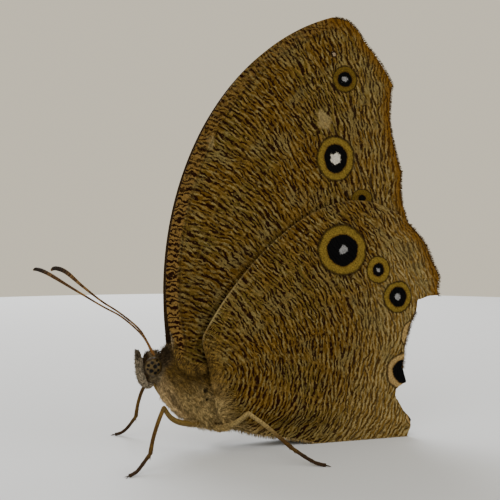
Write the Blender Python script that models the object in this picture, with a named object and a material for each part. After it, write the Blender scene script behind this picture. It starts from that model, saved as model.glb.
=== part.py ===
"""Common evening brown butterfly (Melanitis leda), life size, standing with its wings closed.

Metres, +Z up, floor at z = 0. The head looks along -X and the butterfly's left side faces -Y.
Every size below is in millimetres. Places are (x, z) in the body's middle plane, or (x, y, z)
with y counted outwards from that plane, and at() turns them into metres.
"""

import math

import bmesh
import bpy
from mathutils import Vector
from mathutils.geometry import delaunay_2d_cdt

MM = 0.001
MIDDLE_X = -0.425  # middle of the length, feeler tip to hindwing tail: the origin's x

# Sizes shared by many pieces
GAP = 0.25  # free space kept between touching pieces
WING_THICKNESS = 0.5
VEIN_HALF_WIDTH = 0.3
VEIN_HEIGHT = 0.13  # on the outer face
VEIN_HEIGHT_INSIDE = 0.08
FOREWING_CLEARANCE = 0.5  # from the middle plane to a forewing's middle surface, wings closed
WING_SPACING = 1.05  # between the middle surfaces of a forewing and the hindwing over it
ROOT_SPREAD = 1.5  # how much further out a forewing's middle surface lies at its root
ROOT_REACH = 3.8  # how far that spread runs up the wing

# Body silhouette: each station is (top x, top z, bottom x, bottom z, half width)
THORAX = [
    (-8.60, 9.35, -8.76, 6.80, 0.90),
    (-8.42, 10.05, -9.02, 5.70, 1.40),
    (-7.80, 10.30, -8.50, 4.52, 1.85),
    (-6.60, 10.00, -7.40, 3.30, 2.10),
    (-5.20, 9.20, -6.00, 2.40, 2.20),
    (-3.80, 8.20, -4.55, 1.90, 2.05),
    (-2.70, 7.20, -3.20, 1.95, 1.75),
    (-1.90, 6.30, -2.20, 2.30, 1.45),
]
ABDOMEN = [
    (-1.62, 6.20, -1.92, 2.40, 1.40),
    (0.00, 6.20, -0.30, 2.15, 1.60),
    (2.50, 5.80, 2.30, 1.90, 1.62),
    (5.00, 5.10, 4.90, 1.80, 1.42),
    (7.50, 4.20, 7.40, 1.80, 1.08),
    (9.30, 3.45, 9.20, 1.95, 0.66),
    (10.20, 2.95, 10.15, 2.30, 0.28),
]
HEAD = [
    (-8.92, 9.10, -9.10, 7.00, 0.85),
    (-9.50, 9.66, -9.68, 6.80, 1.12),
    (-10.00, 9.72, -10.14, 6.72, 1.16),
    (-10.42, 9.40, -10.50, 6.92, 1.00),
    (-10.66, 8.90, -10.68, 7.40, 0.60),
]
EYE_CENTRE = (-9.80, 0.93, 8.22)
EYE_RADII = (0.80, 0.50, 0.94)
EYE_GAP = 0.18

# Forewing: the leading edge is one curve, and the outer edge runs from vein end to vein end
FORE_ROOT = (-6.8, 8.8)
FORE_COSTA = [(-8.23, 10.37), (-10.36, 22.71), (-4.46, 38.63), (8.41, 42.52)]
# (vein, end x, end z, how far the edge before it bulges out)
FORE_EDGE = [
    ("R4", 10.1, 42.25, 0.08),
    ("R5", 11.3, 41.1, 0.06),
    ("M1", 12.6, 39.45, -0.05),
    ("M2", 14.95, 36.1, 0.15),
    ("M3", 14.65, 32.2, -0.1),
    ("CuA1", 15.95, 27.2, -0.12),
    ("CuA2", 16.1, 23.6, -0.12),
    ("2A", 16.9, 20.6, 0.1),
]
FORE_INNER = [(16.9, 20.6), (10.0, 15.3), (3.5, 12.6), (-5.0, 8.3)]
FORE_BASE = [(-5.0, 8.3), (-6.2, 7.7), (-8.0, 8.0), (-8.23, 10.37)]
# Each vein as the four handles of one curve, from where it leaves its parent to the edge
FORE_VEINS = {
    "Sc": [(-7.1, 9.3), (-7.8, 15.4), (-7.0, 23.8), (-3.9, 30.9)],
    "R": [(-6.9, 9.2), (-6.9, 15.0), (-4.9, 22.5), (-1.2, 28.2)],
    "R1": [(-3.9, 23.7), (-3.0, 27.5), (-1.4, 31.2), (1.2, 36.6)],
    "R2": [(-1.2, 28.2), (0.3, 31.5), (2.8, 35.8), (6.0, 40.2)],
    "R5": [(-1.2, 28.2), (2.0, 33.0), (6.0, 37.3), (11.3, 41.1)],
    "M1": [(-1.2, 28.2), (2.6, 31.8), (7.0, 35.6), (12.6, 39.45)],
    "discal": [(-1.2, 28.2), (1.3, 27.4), (3.4, 25.2), (4.0, 21.9)],
    "M2": [(1.6, 26.8), (5.2, 30.2), (9.5, 33.6), (14.95, 36.1)],
    "M3": [(4.0, 21.9), (6.8, 26.0), (10.4, 29.8), (14.65, 32.2)],
    "Cu": [(-6.6, 9.0), (-5.0, 13.6), (-1.0, 18.2), (4.0, 21.9)],
    "CuA1": [(2.1, 20.6), (6.0, 23.6), (10.8, 26.3), (15.95, 27.2)],
    "CuA2": [(-1.6, 17.4), (3.4, 20.6), (9.6, 23.3), (16.1, 23.6)],
    "2A": [(-6.3, 8.9), (-1.0, 13.2), (7.0, 17.2), (16.9, 20.6)],
}

# Hindwing: torn along the outer edge below the tail, and resting on the floor
HIND_COSTA_LOW = [(-4.96, 8.95), (-5.29, 9.7), (-5.78, 10.75), (-5.15, 11.51)]
HIND_COSTA = [(-5.15, 11.51), (-1.15, 17.99), (8.24, 28.76), (16.28, 21.84)]
HIND_EDGE = [
    ("Rs", 18.1, 19.9, 0.08),
    ("M1", 19.15, 17.7, 0.1),
    ("M2", 19.9, 16.05, 0.08),
    ("M3", 19.85, 14.3, -0.15),
]
HIND_TEAR = [
    (18.6, 14.2),
    (17.45, 13.85),
    (17.35, 12.8),
    (16.7, 11.5),
    (16.0, 9.2),
    (15.8, 7.0),
    (16.2, 5.5),
    (15.6, 5.3),
    (15.0, 4.9),
    (14.9, 4.3),
    (15.8, 2.75),
    (16.7, 1.8),
    (16.6, 0.9),
    (16.2, 0.0),
]
HIND_FLOOR = [(16.2, 0.0), (6.1, 0.0)]  # the stretch that rests on the floor
HIND_INNER = [(6.1, 0.0), (3.2, 1.05), (1.4, 0.6), (-2.5, 2.2)]
HIND_BASE = [(-2.5, 2.2), (-4.1, 3.4), (-4.5, 6.2), (-4.96, 8.95)]
HIND_VEINS = {
    "Sc": [(-4.3, 8.3), (-4.2, 13.6), (4.0, 24.6), (15.2, 22.4)],
    "Rs": [(-4.2, 8.0), (-1.6, 14.6), (6.0, 20.8), (18.1, 19.9)],
    "stem": [(-4.1, 7.6), (-2.4, 10.6), (1.0, 13.4), (5.0, 15.2)],
    "M1": [(5.0, 15.2), (8.6, 17.2), (13.6, 18.4), (19.15, 17.7)],
    "discal": [(5.0, 15.2), (6.8, 14.6), (7.9, 13.2), (7.4, 11.2)],
    "M2": [(7.3, 13.6), (11.0, 15.4), (15.4, 16.4), (19.9, 16.05)],
    "M3": [(7.4, 11.2), (11.0, 12.6), (15.0, 13.7), (19.85, 14.3)],
    "Cu": [(-4.0, 7.2), (-1.2, 8.8), (3.0, 9.2), (7.4, 11.2)],
    "CuA1": [(6.1, 10.4), (9.0, 9.9), (12.4, 8.9), (16.0, 8.3)],
    "CuA2": [(2.6, 9.1), (6.6, 8.0), (11.0, 6.0), (14.9, 4.5)],
    "2A": [(-3.9, 6.8), (1.0, 6.4), (9.0, 3.6), (16.5, 1.0)],
}

# Feelers: (x, y, z) along each, with its thickness growing into the club
LEFT_FEELER = [
    (-9.98, 0.42, 9.92),
    (-10.46, 0.56, 10.63),
    (-11.23, 0.91, 11.86),
    (-12.99, 1.64, 13.39),
    (-14.77, 2.38, 14.62),
    (-16.50, 3.22, 16.05),
    (-17.91, 3.98, 17.31),
    (-18.81, 4.40, 17.68),
    (-19.21, 4.60, 17.47),
]
RIGHT_FEELER = [
    (-9.98, 0.42, 9.92),
    (-10.36, 0.52, 10.55),
    (-11.09, 0.79, 11.48),
    (-12.66, 1.34, 12.84),
    (-14.41, 1.92, 13.83),
    (-17.03, 2.86, 15.46),
    (-19.22, 3.68, 16.84),
    (-20.28, 4.06, 17.29),
    (-20.68, 4.20, 17.17),
]
FEELER_RADIUS = 0.25
CLUB_RADIUS = 0.30
TIP_RADIUS = 0.12

# Palps: up in front of the face
PALP = [
    (-9.98, 0.50, 6.36),
    (-10.48, 0.52, 6.32),
    (-10.92, 0.52, 6.70),
    (-11.10, 0.50, 7.45),
    (-11.12, 0.48, 8.20),
    (-11.16, 0.45, 8.95),
    (-11.24, 0.42, 9.70),
]
PALP_RADII = [0.26, 0.28, 0.31, 0.33, 0.32, 0.26, 0.14]

# Walking legs: where each leaves the thorax, then (x, y, z) through the knee and heel to the claws
MIDDLE_HIP = (0.57, 135)  # share of the thorax's length from the neck, and degrees from its top
HIND_HIP = (0.71, 130)
LEFT_MIDDLE_LEG = {
    "femur": [(-7.50, 2.60, 3.50), (-8.55, 3.33, 4.25), (-9.42, 4.20, 5.10)],
    "tibia": [(-9.42, 4.20, 5.10), (-10.05, 4.90, 4.00), (-10.57, 5.40, 2.70), (-10.87, 5.80, 1.55)],
    "tarsus": [(-10.87, 5.80, 1.55), (-11.56, 6.20, 0.83), (-12.15, 6.60, 0.36), (-12.85, 7.00, 0.17)],
    "claws": (-13.45, 7.30, 0.16),
}
RIGHT_MIDDLE_LEG = {
    "femur": [(-7.35, 2.70, 3.60), (-8.40, 3.45, 4.75), (-9.20, 4.30, 6.10)],
    "tibia": [(-9.20, 4.30, 6.10), (-9.95, 4.95, 5.20), (-10.42, 5.40, 3.70), (-10.62, 5.80, 2.15)],
    "tarsus": [(-10.62, 5.80, 2.15), (-11.34, 6.35, 1.00), (-11.95, 6.85, 0.38), (-12.60, 7.15, 0.17)],
    "claws": (-13.10, 7.35, 0.16),
}
HIND_LEG = {
    "femur": [(-3.55, 2.60, 2.45), (-2.58, 3.45, 3.10), (-1.62, 4.40, 4.15)],
    "tibia": [(-1.62, 4.40, 4.15), (-0.25, 5.40, 3.15), (0.80, 6.35, 2.20), (1.70, 7.10, 1.40)],
    "tarsus": [(1.70, 7.10, 1.40), (2.61, 7.70, 0.80), (3.45, 8.30, 0.34), (4.32, 8.80, 0.17)],
    "claws": (5.06, 9.20, 0.16),
}
FEMUR_RADIUS = 0.31
TIBIA_RADIUS = 0.26
TARSUS_RADIUS = 0.25
FORELEG_RADII = [0.20, 0.27, 0.30, 0.29, 0.26, 0.18]


def at(x, y, z):
    """A place in metres, from millimetres."""
    return Vector(((x - MIDDLE_X) * MM, y * MM, z * MM))


def curve(handles, steps):
    """Points along one cubic curve, both ends included."""
    a, b, c, d = (Vector(h) for h in handles)
    points = []
    for i in range(steps + 1):
        t = i / steps
        s = 1 - t
        points.append(a * s**3 + b * 3 * s * s * t + c * 3 * s * t * t + d * t**3)
    return points


def spline(points, steps):
    """A smooth line through points, which may have any number of coordinates."""
    count = len(points)
    line = []
    for i in range(count - 1):
        before = points[max(i - 1, 0)]
        after = points[min(i + 2, count - 1)]
        for k in range(steps):
            t = k / steps
            row = []
            for p0, p1, p2, p3 in zip(before, points[i], points[i + 1], after):
                bend = 2 * p0 - 5 * p1 + 4 * p2 - p3
                twist = 3 * p1 - 3 * p2 + p3 - p0
                row.append(p1 + 0.5 * t * (p2 - p0 + t * (bend + t * twist)))
            line.append(tuple(row))
    line.append(tuple(points[-1]))
    return line


def material(name, colour, roughness, metallic=0.0):
    made = bpy.data.materials.new(name)
    made.use_nodes = True
    shader = made.node_tree.nodes["Principled BSDF"]
    shader.inputs["Base Color"].default_value = (*colour, 1.0)
    shader.inputs["Roughness"].default_value = roughness
    shader.inputs["Metallic"].default_value = metallic
    return made


def finish(name, bm, look):
    """Turns a bmesh into a named object with its material, smooth but for sharp edges."""
    bmesh.ops.recalc_face_normals(bm, faces=bm.faces)
    if bm.calc_volume(signed=True) < 0:
        bmesh.ops.reverse_faces(bm, faces=bm.faces)
    mesh = bpy.data.meshes.new(name)
    bm.to_mesh(mesh)
    bm.free()
    mesh.materials.append(look)
    mesh.shade_smooth()
    mesh.set_sharp_from_angle(angle=math.radians(50))
    made = bpy.data.objects.new(name, mesh)
    bpy.context.scene.collection.objects.link(made)
    return made


def skin_rings(bm, rings):
    """Faces between rings of equal length, and a flat cap on each end."""
    loops = [[bm.verts.new(p) for p in ring] for ring in rings]
    sides = len(loops[0])
    for first, second in zip(loops, loops[1:]):
        for i in range(sides):
            j = (i + 1) % sides
            bm.faces.new((first[i], first[j], second[j], second[i]))
    bm.faces.new(loops[0])
    bm.faces.new(loops[-1])


def body_rings(stations, steps, sides):
    """Oval rings, each in the plane of its station's top and bottom points."""
    rings = []
    for top_x, top_z, bottom_x, bottom_z, half_width in spline(stations, steps):
        middle_x = (top_x + bottom_x) / 2
        middle_z = (top_z + bottom_z) / 2
        ring = []
        for i in range(sides):
            angle = 2 * math.pi * (i + 0.5) / sides
            up = math.cos(angle)
            ring.append(
                at(
                    middle_x + up * (top_x - bottom_x) / 2,
                    half_width * math.sin(angle),
                    middle_z + up * (top_z - bottom_z) / 2,
                )
            )
        rings.append(ring)
    return rings


def body_part(name, stations, steps, sides, look):
    bm = bmesh.new()
    skin_rings(bm, body_rings(stations, steps, sides))
    return finish(name, bm, look)


BODY_LINE = spline(THORAX, 6) + spline(ABDOMEN, 6)


def body_half_width(x, z):
    """Half the body's width where the line across it through (x, z) meets its sides, or 0 outside."""
    sides_of = []
    for top_x, top_z, bottom_x, bottom_z, _ in BODY_LINE:
        across = (top_x - bottom_x) * (z - bottom_z) - (top_z - bottom_z) * (x - bottom_x)
        sides_of.append(across / math.hypot(top_x - bottom_x, top_z - bottom_z))
    for i in range(len(BODY_LINE) - 1):
        if sides_of[i] <= 0 < sides_of[i + 1]:
            share = sides_of[i] / (sides_of[i] - sides_of[i + 1])
            here = [a + (b - a) * share for a, b in zip(BODY_LINE[i], BODY_LINE[i + 1])]
            length = math.hypot(here[0] - here[2], here[1] - here[3])
            height = ((x - here[2]) * (here[0] - here[2]) + (z - here[3]) * (here[1] - here[3])) / length
            up = 2 * height / length - 1
            return here[4] * math.sqrt(1 - up * up) if abs(up) < 1 else 0.0
    return 0.0


def softly_larger(a, b, ease=0.35):
    """The larger of two sizes, with the corner where they cross rounded off."""
    return 0.5 * (a + b + math.sqrt((a - b) ** 2 + ease**2))


def clear_of_body(x, z):
    return body_half_width(x, z) + GAP + 0.1 + WING_THICKNESS / 2 + VEIN_HEIGHT_INSIDE


def near_body(p):
    """Whether a wing bends here to clear the body, and so needs smaller triangles."""
    return p.y < 7.2 + 0.3 * max(0.0, -p.x) and p.x < 11


def forewing_y(x, z):
    """Distance of a forewing's middle surface from the middle plane."""
    from_root = math.hypot(x - FORE_ROOT[0], z - FORE_ROOT[1])
    leaning = FOREWING_CLEARANCE + ROOT_SPREAD * math.exp(-((from_root / ROOT_REACH) ** 1.5))
    if body_half_width(x, z) == 0:
        return leaning
    return softly_larger(leaning, clear_of_body(x, z))


def hindwing_y(x, z):
    """The same for a hindwing, which lies over the forewing and wraps the abdomen."""
    from_root = math.hypot(x - FORE_ROOT[0], z - FORE_ROOT[1])
    leaning = FOREWING_CLEARANCE + ROOT_SPREAD * math.exp(-((from_root / ROOT_REACH) ** 1.5))
    return softly_larger(leaning + WING_SPACING, clear_of_body(x, z))


def edge_through(start, ends, step):
    """An outer edge from vein end to vein end, each stretch a shallow arc."""
    points = [Vector(start)]
    for _, x, z, bulge in ends:
        a, b = points[-1], Vector((x, z))
        outwards = Vector((-(b - a).y, (b - a).x)).normalized()
        count = max(2, round((b - a).length / step))
        for i in range(1, count + 1):
            t = i / count
            points.append(a.lerp(b, t) + outwards * (4 * bulge * t * (1 - t)))
    return points


def join(*stretches):
    """One closed outline from stretches that meet end to end."""
    outline = []
    for stretch in stretches:
        for p in stretch:
            p = Vector(p)
            if not outline or (p - outline[-1]).length > 1e-6:
                outline.append(p)
    if (outline[0] - outline[-1]).length < 1e-6:
        outline.pop()
    return outline


def offset_line(line, distance):
    """The line moved sideways, for the foot of a vein's ridge."""
    moved = []
    for i, p in enumerate(line):
        along = (line[min(i + 1, len(line) - 1)] - line[max(i - 1, 0)]).normalized()
        moved.append(p + Vector((-along.y, along.x)) * distance)
    return moved


def distance_to_line(p, line):
    nearest = 1e9
    for a, b in zip(line, line[1:]):
        d = b - a
        t = min(1.0, max(0.0, (p - a).dot(d) / d.length_squared))
        nearest = min(nearest, (p - a - d * t).length)
    return nearest


def wing_plan(outline, veins, spacing=1.9, grid=1.2):
    """The flat wing cut into triangles along its veins: points, triangles and each point's ridge share."""
    lines = []
    for handles in veins.values():
        chord = (Vector(handles[3]) - Vector(handles[0])).length
        line = curve(handles, max(2, round(chord / spacing)))
        end = line[-1] - line[-2]
        line[-1] = line[-2] + end * max(0.3, 1 - 0.45 / end.length)  # ends just inside the edge
        lines.append(line)

    points = [p.copy() for p in outline]
    edges = [(i, (i + 1) % len(outline)) for i in range(len(outline))]

    def add_line(line):
        first = len(points)
        points.extend(line)
        edges.extend((first + i, first + i + 1) for i in range(len(line) - 1))

    for line in lines:
        add_line(line)
        for side in (-VEIN_HALF_WIDTH, VEIN_HALF_WIDTH):
            foot = offset_line(line, side)
            foot[0] = foot[0].lerp(foot[1], 0.4)
            foot[-1] = foot[-1].lerp(foot[-2], 0.2)
            add_line(foot)

    low = Vector((min(p.x for p in outline), min(p.y for p in outline)))
    high = Vector((max(p.x for p in outline), max(p.y for p in outline)))
    closed = outline + [outline[0]]
    for row in range(int((high.y - low.y) / grid) + 1):
        for column in range(int((high.x - low.x) / grid) + 1):
            p = low + Vector(((column + 0.5 * (row % 2)) * grid, row * grid))
            if row % 2 + column % 2 and not near_body(p):
                continue
            near_vein = min(distance_to_line(p, line) for line in lines)
            if near_vein > 0.75 and distance_to_line(p, closed) > 0.75:
                points.append(p)

    made = delaunay_2d_cdt(points, edges, [list(range(len(outline)))], 1, 1e-4)
    flat, faces = made[0], made[2]
    ridge = []
    for p in flat:
        away = min(distance_to_line(p, line) for line in lines)
        ridge.append(max(0.0, 1 - away / (VEIN_HALF_WIDTH * 0.98)))
    return flat, faces, ridge


def wing(name, plan, depth_of, side, look):
    """A wing with the same triangles on both faces and its veins raised on each."""
    flat, faces, ridge = plan
    half = WING_THICKNESS / 2
    bm = bmesh.new()
    outer, inner = [], []
    for p, share in zip(flat, ridge):
        middle = depth_of(p.x, p.y)
        outer.append(bm.verts.new(at(p.x, side * (middle + half + VEIN_HEIGHT * share), p.y)))
        inner.append(bm.verts.new(at(p.x, side * (middle - half - VEIN_HEIGHT_INSIDE * share), p.y)))
    uses = {}
    for face in faces:
        bm.faces.new([outer[i] for i in face])
        bm.faces.new([inner[i] for i in reversed(face)])
        for a, b in zip(face, [*face[1:], face[0]]):
            uses.setdefault(frozenset((a, b)), []).append((a, b))
    for found in uses.values():
        if len(found) == 1:
            a, b = found[0]
            bm.faces.new((outer[b], outer[a], inner[a], inner[b]))
    return finish(name, bm, look)


def tube_rings(path, radii, sides, start_plane=None, end_plane=None, floor=False):
    """Rings along a path of places in metres. A plane's normal mitres the ring at that end."""
    rings = []
    side_way = None
    for i, p in enumerate(path):
        along = (path[min(i + 1, len(path) - 1)] - path[max(i - 1, 0)]).normalized()
        if side_way is None:
            side_way = along.cross(Vector((0, 0, 1))).normalized()
        side_way = (side_way - along * side_way.dot(along)).normalized()
        up_way = side_way.cross(along)
        normal = start_plane if i == 0 else end_plane if i == len(path) - 1 else None
        ring = []
        for k in range(sides):
            angle = 2 * math.pi * (k + 0.5) / sides
            v = (side_way * math.cos(angle) + up_way * math.sin(angle)) * radii[i] * MM
            if normal is not None:
                v -= along * (v.dot(normal) / along.dot(normal))
            q = p + v
            if floor:
                q.z = max(q.z, 0.0)
            ring.append(q)
        rings.append(ring)
    return rings


def tube(name, path, radii, sides, look, **planes):
    bm = bmesh.new()
    skin_rings(bm, tube_rings(path, radii, sides, **planes))
    return finish(name, bm, look)


def mirrored(points, side):
    return [at(x, side * y, z) for x, y, z in points]


def grow(radii, count):
    """A list of radii spread evenly over count places."""
    grown = []
    for i in range(count):
        share = i / (count - 1) * (len(radii) - 1)
        k = min(int(share), len(radii) - 2)
        grown.append(radii[k] + (radii[k + 1] - radii[k]) * (share - k))
    return grown


def feeler(name, points, side, look):
    path = mirrored(spline(points, 2), side)
    shaft = [FEELER_RADIUS] * 6
    radii = grow([*shaft, FEELER_RADIUS, CLUB_RADIUS, CLUB_RADIUS, TIP_RADIUS], len(path))
    return tube(name, path, radii, 8, look)


def palp(name, side, look):
    path = mirrored(spline(PALP, 2), side)
    return tube(name, path, grow(PALP_RADII, len(path)), 8, look)


def beside_thorax(share, degrees, lift):
    """A place (x, y, z) lifted off the thorax, at a share of its length and an angle from its top."""
    line = spline(THORAX, 10)
    top_x, top_z, bottom_x, bottom_z, half_width = line[round(share * (len(line) - 1))]
    angle = math.radians(degrees)
    half_height = math.hypot(top_x - bottom_x, top_z - bottom_z) / 2
    outwards = Vector((math.sin(angle) / half_width, math.cos(angle) / half_height)).normalized()
    y = half_width * math.sin(angle) + lift * outwards.x
    up = (math.cos(angle) + lift * outwards.y / half_height) / 2
    x = (top_x + bottom_x) / 2 + up * (top_x - bottom_x)
    z = (top_z + bottom_z) / 2 + up * (top_z - bottom_z)
    return x, y, z


def leg(name, hip, parts, side, look):
    """Femur, tibia and tarsus, parted at the joints by cuts that halve each bend."""
    names = ["femur", "tibia", "tarsus"]
    radii = {
        "femur": [FEMUR_RADIUS, FEMUR_RADIUS, TIBIA_RADIUS],
        "tibia": [TIBIA_RADIUS, TIBIA_RADIUS],
        "tarsus": [TARSUS_RADIUS, TARSUS_RADIUS, TARSUS_RADIUS * 0.9],
    }
    places = {
        "femur": [beside_thorax(*hip, GAP), beside_thorax(*hip, GAP + 0.5), *parts["femur"]],
        "tibia": parts["tibia"],
        "tarsus": [*parts["tarsus"], parts["claws"]],
    }
    paths = {part: mirrored(spline(places[part], 2), side) for part in names}
    cuts = {}
    for first, second in zip(names, names[1:]):
        arriving = (paths[first][-1] - paths[first][-2]).normalized()
        leaving = (paths[second][1] - paths[second][0]).normalized()
        cut = (arriving + leaving).normalized()
        paths[first][-1] = paths[first][-1] - arriving * (GAP / 2 * MM / arriving.dot(cut))
        paths[second][0] = paths[second][0] + leaving * (GAP / 2 * MM / leaving.dot(cut))
        cuts[first, "end"] = cut
        cuts[second, "start"] = cut
    for part in names:
        tube(
            f"{name}_{part}",
            paths[part],
            grow(radii[part], len(paths[part])),
            8,
            look,
            start_plane=cuts.get((part, "start")),
            end_plane=cuts.get((part, "end")),
            floor=part == "tarsus",
        )


def foreleg(name, side, look):
    """The small folded foreleg, lying along the chest from neck to middle leg."""
    lift = GAP + max(FORELEG_RADII) + 0.03
    path = [beside_thorax(0.1 + 0.08 * i, 146, lift) for i in range(6)]
    path = mirrored(spline(path, 2), side)
    return tube(name, path, grow(FORELEG_RADII, len(path)), 8, look)


def ball(name, centre, radii, look, segments=20, rings=12):
    bm = bmesh.new()
    bmesh.ops.create_uvsphere(bm, u_segments=segments, v_segments=rings, radius=1.0)
    for v in bm.verts:
        v.co = at(*centre) + Vector((v.co.x * radii[0], -v.co.z * radii[1], v.co.y * radii[2])) * MM
    return finish(name, bm, look)


def head_with_sockets(eye_look, head_look):
    head = body_part("head", HEAD, 2, 16, head_look)
    for side, word in ((-1, "left"), (1, "right")):
        centre = (EYE_CENTRE[0], side * EYE_CENTRE[1], EYE_CENTRE[2])
        ball(f"eye_{word}", centre, EYE_RADII, eye_look)
        socket = ball(f"socket_{word}", centre, [r + EYE_GAP for r in EYE_RADII], head_look)
        socket.hide_render = True
        socket.display_type = "WIRE"
        cut = head.modifiers.new(f"socket_{word}", "BOOLEAN")
        cut.operation = "DIFFERENCE"
        cut.object = socket


def main():
    for old in list(bpy.data.objects):
        bpy.data.objects.remove(old)

    wing_look = material("wing_scales", (0.16, 0.105, 0.042), 0.8)
    pile_look = material("body_pile", (0.24, 0.19, 0.12), 0.9)
    leg_look = material("leg_scales", (0.20, 0.125, 0.055), 0.6)
    feeler_look = material("feeler_brown", (0.11, 0.055, 0.03), 0.5)
    eye_look = material("eye_olive", (0.13, 0.115, 0.075), 0.25)

    body_part("thorax", THORAX, 2, 18, pile_look)
    body_part("abdomen", ABDOMEN, 2, 16, pile_look)
    head_with_sockets(eye_look, pile_look)

    fore_costa = curve(FORE_COSTA, 26)
    fore_outline = join(
        fore_costa,
        edge_through(fore_costa[-1], FORE_EDGE, 0.9),
        curve(FORE_INNER, 12),
        curve(FORE_BASE, 4),
    )
    hind_costa = curve(HIND_COSTA, 16)
    hind_outline = join(
        curve(HIND_COSTA_LOW, 4),
        hind_costa,
        edge_through(hind_costa[-1], HIND_EDGE, 0.9),
        HIND_TEAR,
        [Vector(HIND_FLOOR[0]).lerp(Vector(HIND_FLOOR[1]), i / 5) for i in range(6)],
        curve(HIND_INNER, 5),
        curve(HIND_BASE, 6),
    )
    fore_plan = wing_plan(fore_outline, FORE_VEINS)
    hind_plan = wing_plan(hind_outline, HIND_VEINS)

    for side, word in ((-1, "left"), (1, "right")):
        wing(f"forewing_{word}", fore_plan, forewing_y, side, wing_look)
        wing(f"hindwing_{word}", hind_plan, hindwing_y, side, wing_look)
        feeler(f"antenna_{word}", LEFT_FEELER if side < 0 else RIGHT_FEELER, side, feeler_look)
        palp(f"palp_{word}", side, pile_look)
        foreleg(f"foreleg_{word}", side, leg_look)
        middle_leg = LEFT_MIDDLE_LEG if side < 0 else RIGHT_MIDDLE_LEG
        leg(f"middle_{word}", MIDDLE_HIP, middle_leg, side, leg_look)
        leg(f"hind_{word}", HIND_HIP, HIND_LEG, side, leg_look)


main()
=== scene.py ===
import math

import bpy
import numpy as np
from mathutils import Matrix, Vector


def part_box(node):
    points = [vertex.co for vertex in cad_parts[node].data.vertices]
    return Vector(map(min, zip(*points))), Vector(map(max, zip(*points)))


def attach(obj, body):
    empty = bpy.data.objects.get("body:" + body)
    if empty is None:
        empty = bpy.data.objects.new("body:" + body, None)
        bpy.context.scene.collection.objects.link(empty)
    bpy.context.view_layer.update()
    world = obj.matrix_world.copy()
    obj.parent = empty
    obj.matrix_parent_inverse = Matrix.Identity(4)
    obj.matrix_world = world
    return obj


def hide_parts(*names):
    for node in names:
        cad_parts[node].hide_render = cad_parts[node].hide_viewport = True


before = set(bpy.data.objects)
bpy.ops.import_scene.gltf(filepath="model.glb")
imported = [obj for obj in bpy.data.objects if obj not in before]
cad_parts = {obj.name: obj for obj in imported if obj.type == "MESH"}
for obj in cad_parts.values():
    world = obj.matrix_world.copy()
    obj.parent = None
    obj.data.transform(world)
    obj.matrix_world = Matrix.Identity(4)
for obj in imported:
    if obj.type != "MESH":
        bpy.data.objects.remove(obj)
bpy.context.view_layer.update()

chance = np.random.default_rng(7)

# All places below are in millimetres: x along the body, z up, y out from the middle plane
tailX = 19.9  # the hindwing's furthest point, which the frame also holds
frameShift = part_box("hindwing_left")[1][0] * 1000 - tailX
sides = {"left": -1, "right": 1}


def place(points):
    # millimetres in the body's own plane to metres in the frame
    points = np.array(points, float)
    points[..., 0] += frameShift
    return points * 0.001


def deselectAll():
    if bpy.context.object and bpy.context.object.mode != "OBJECT":
        bpy.ops.object.mode_set(mode="OBJECT")
    bpy.ops.object.select_all(action="DESELECT")


# Curves and outlines

def bezier(handles, count):
    t = np.linspace(0, 1, count)[:, None]
    s = 1 - t
    a, b, c, d = (np.array(h, float) for h in handles)
    return a * s**3 + b * 3 * s * s * t + c * 3 * s * t * t + d * t**3


def smoothLine(points, count):
    # a smooth line through points of any dimension
    p = np.array(points, float)
    p = np.vstack([p[:1], p, p[-1:]])
    t = np.linspace(0, 1, count, endpoint=False)[:, None]
    rows = []
    for p0, p1, p2, p3 in zip(p, p[1:], p[2:], p[3:]):
        bend = 2 * p0 - 5 * p1 + 4 * p2 - p3
        twist = 3 * p1 - 3 * p2 + p3 - p0
        rows.append(p1 + 0.5 * t * (p2 - p0 + t * (bend + t * twist)))
    return np.vstack([*rows, p[-1:]])


def spaced(line, shares):
    # the places at these shares of a line's length
    steps = np.linalg.norm(np.diff(line, axis=0), axis=1)
    run = np.concatenate([[0], np.cumsum(steps)]) / steps.sum()
    return np.stack([np.interp(shares, run, line[:, i]) for i in range(line.shape[1])], axis=-1)


def runAt(line, shares, reach):
    # the way a line runs at these shares of its length, taken over a short reach
    return spaced(line, np.minimum(shares + reach, 1)) - spaced(line, np.maximum(shares - reach, 0))


def scallops(start, ends):
    # an edge from vein end to vein end, each stretch bulging a little
    line = [np.array(start, float)]
    for x, z, bulge in ends:
        a, b = line[-1], np.array((x, z), float)
        out = np.array((-(b - a)[1], (b - a)[0])) / np.linalg.norm(b - a)
        for t in np.linspace(0.1, 1, 10):
            line.append(a + (b - a) * t + out * 4 * bulge * t * (1 - t))
    return np.array(line)


def distanceTo(points, line):
    # how far each (x, z) lies from a line
    nearest = np.full(len(points), 1e9)
    for a, b in zip(line, line[1:]):
        d = b - a
        t = np.clip(((points - a) @ d) / max(d @ d, 1e-12), 0, 1)
        nearest = np.minimum(nearest, np.linalg.norm(points - a - t[:, None] * d, axis=1))
    return nearest


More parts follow.
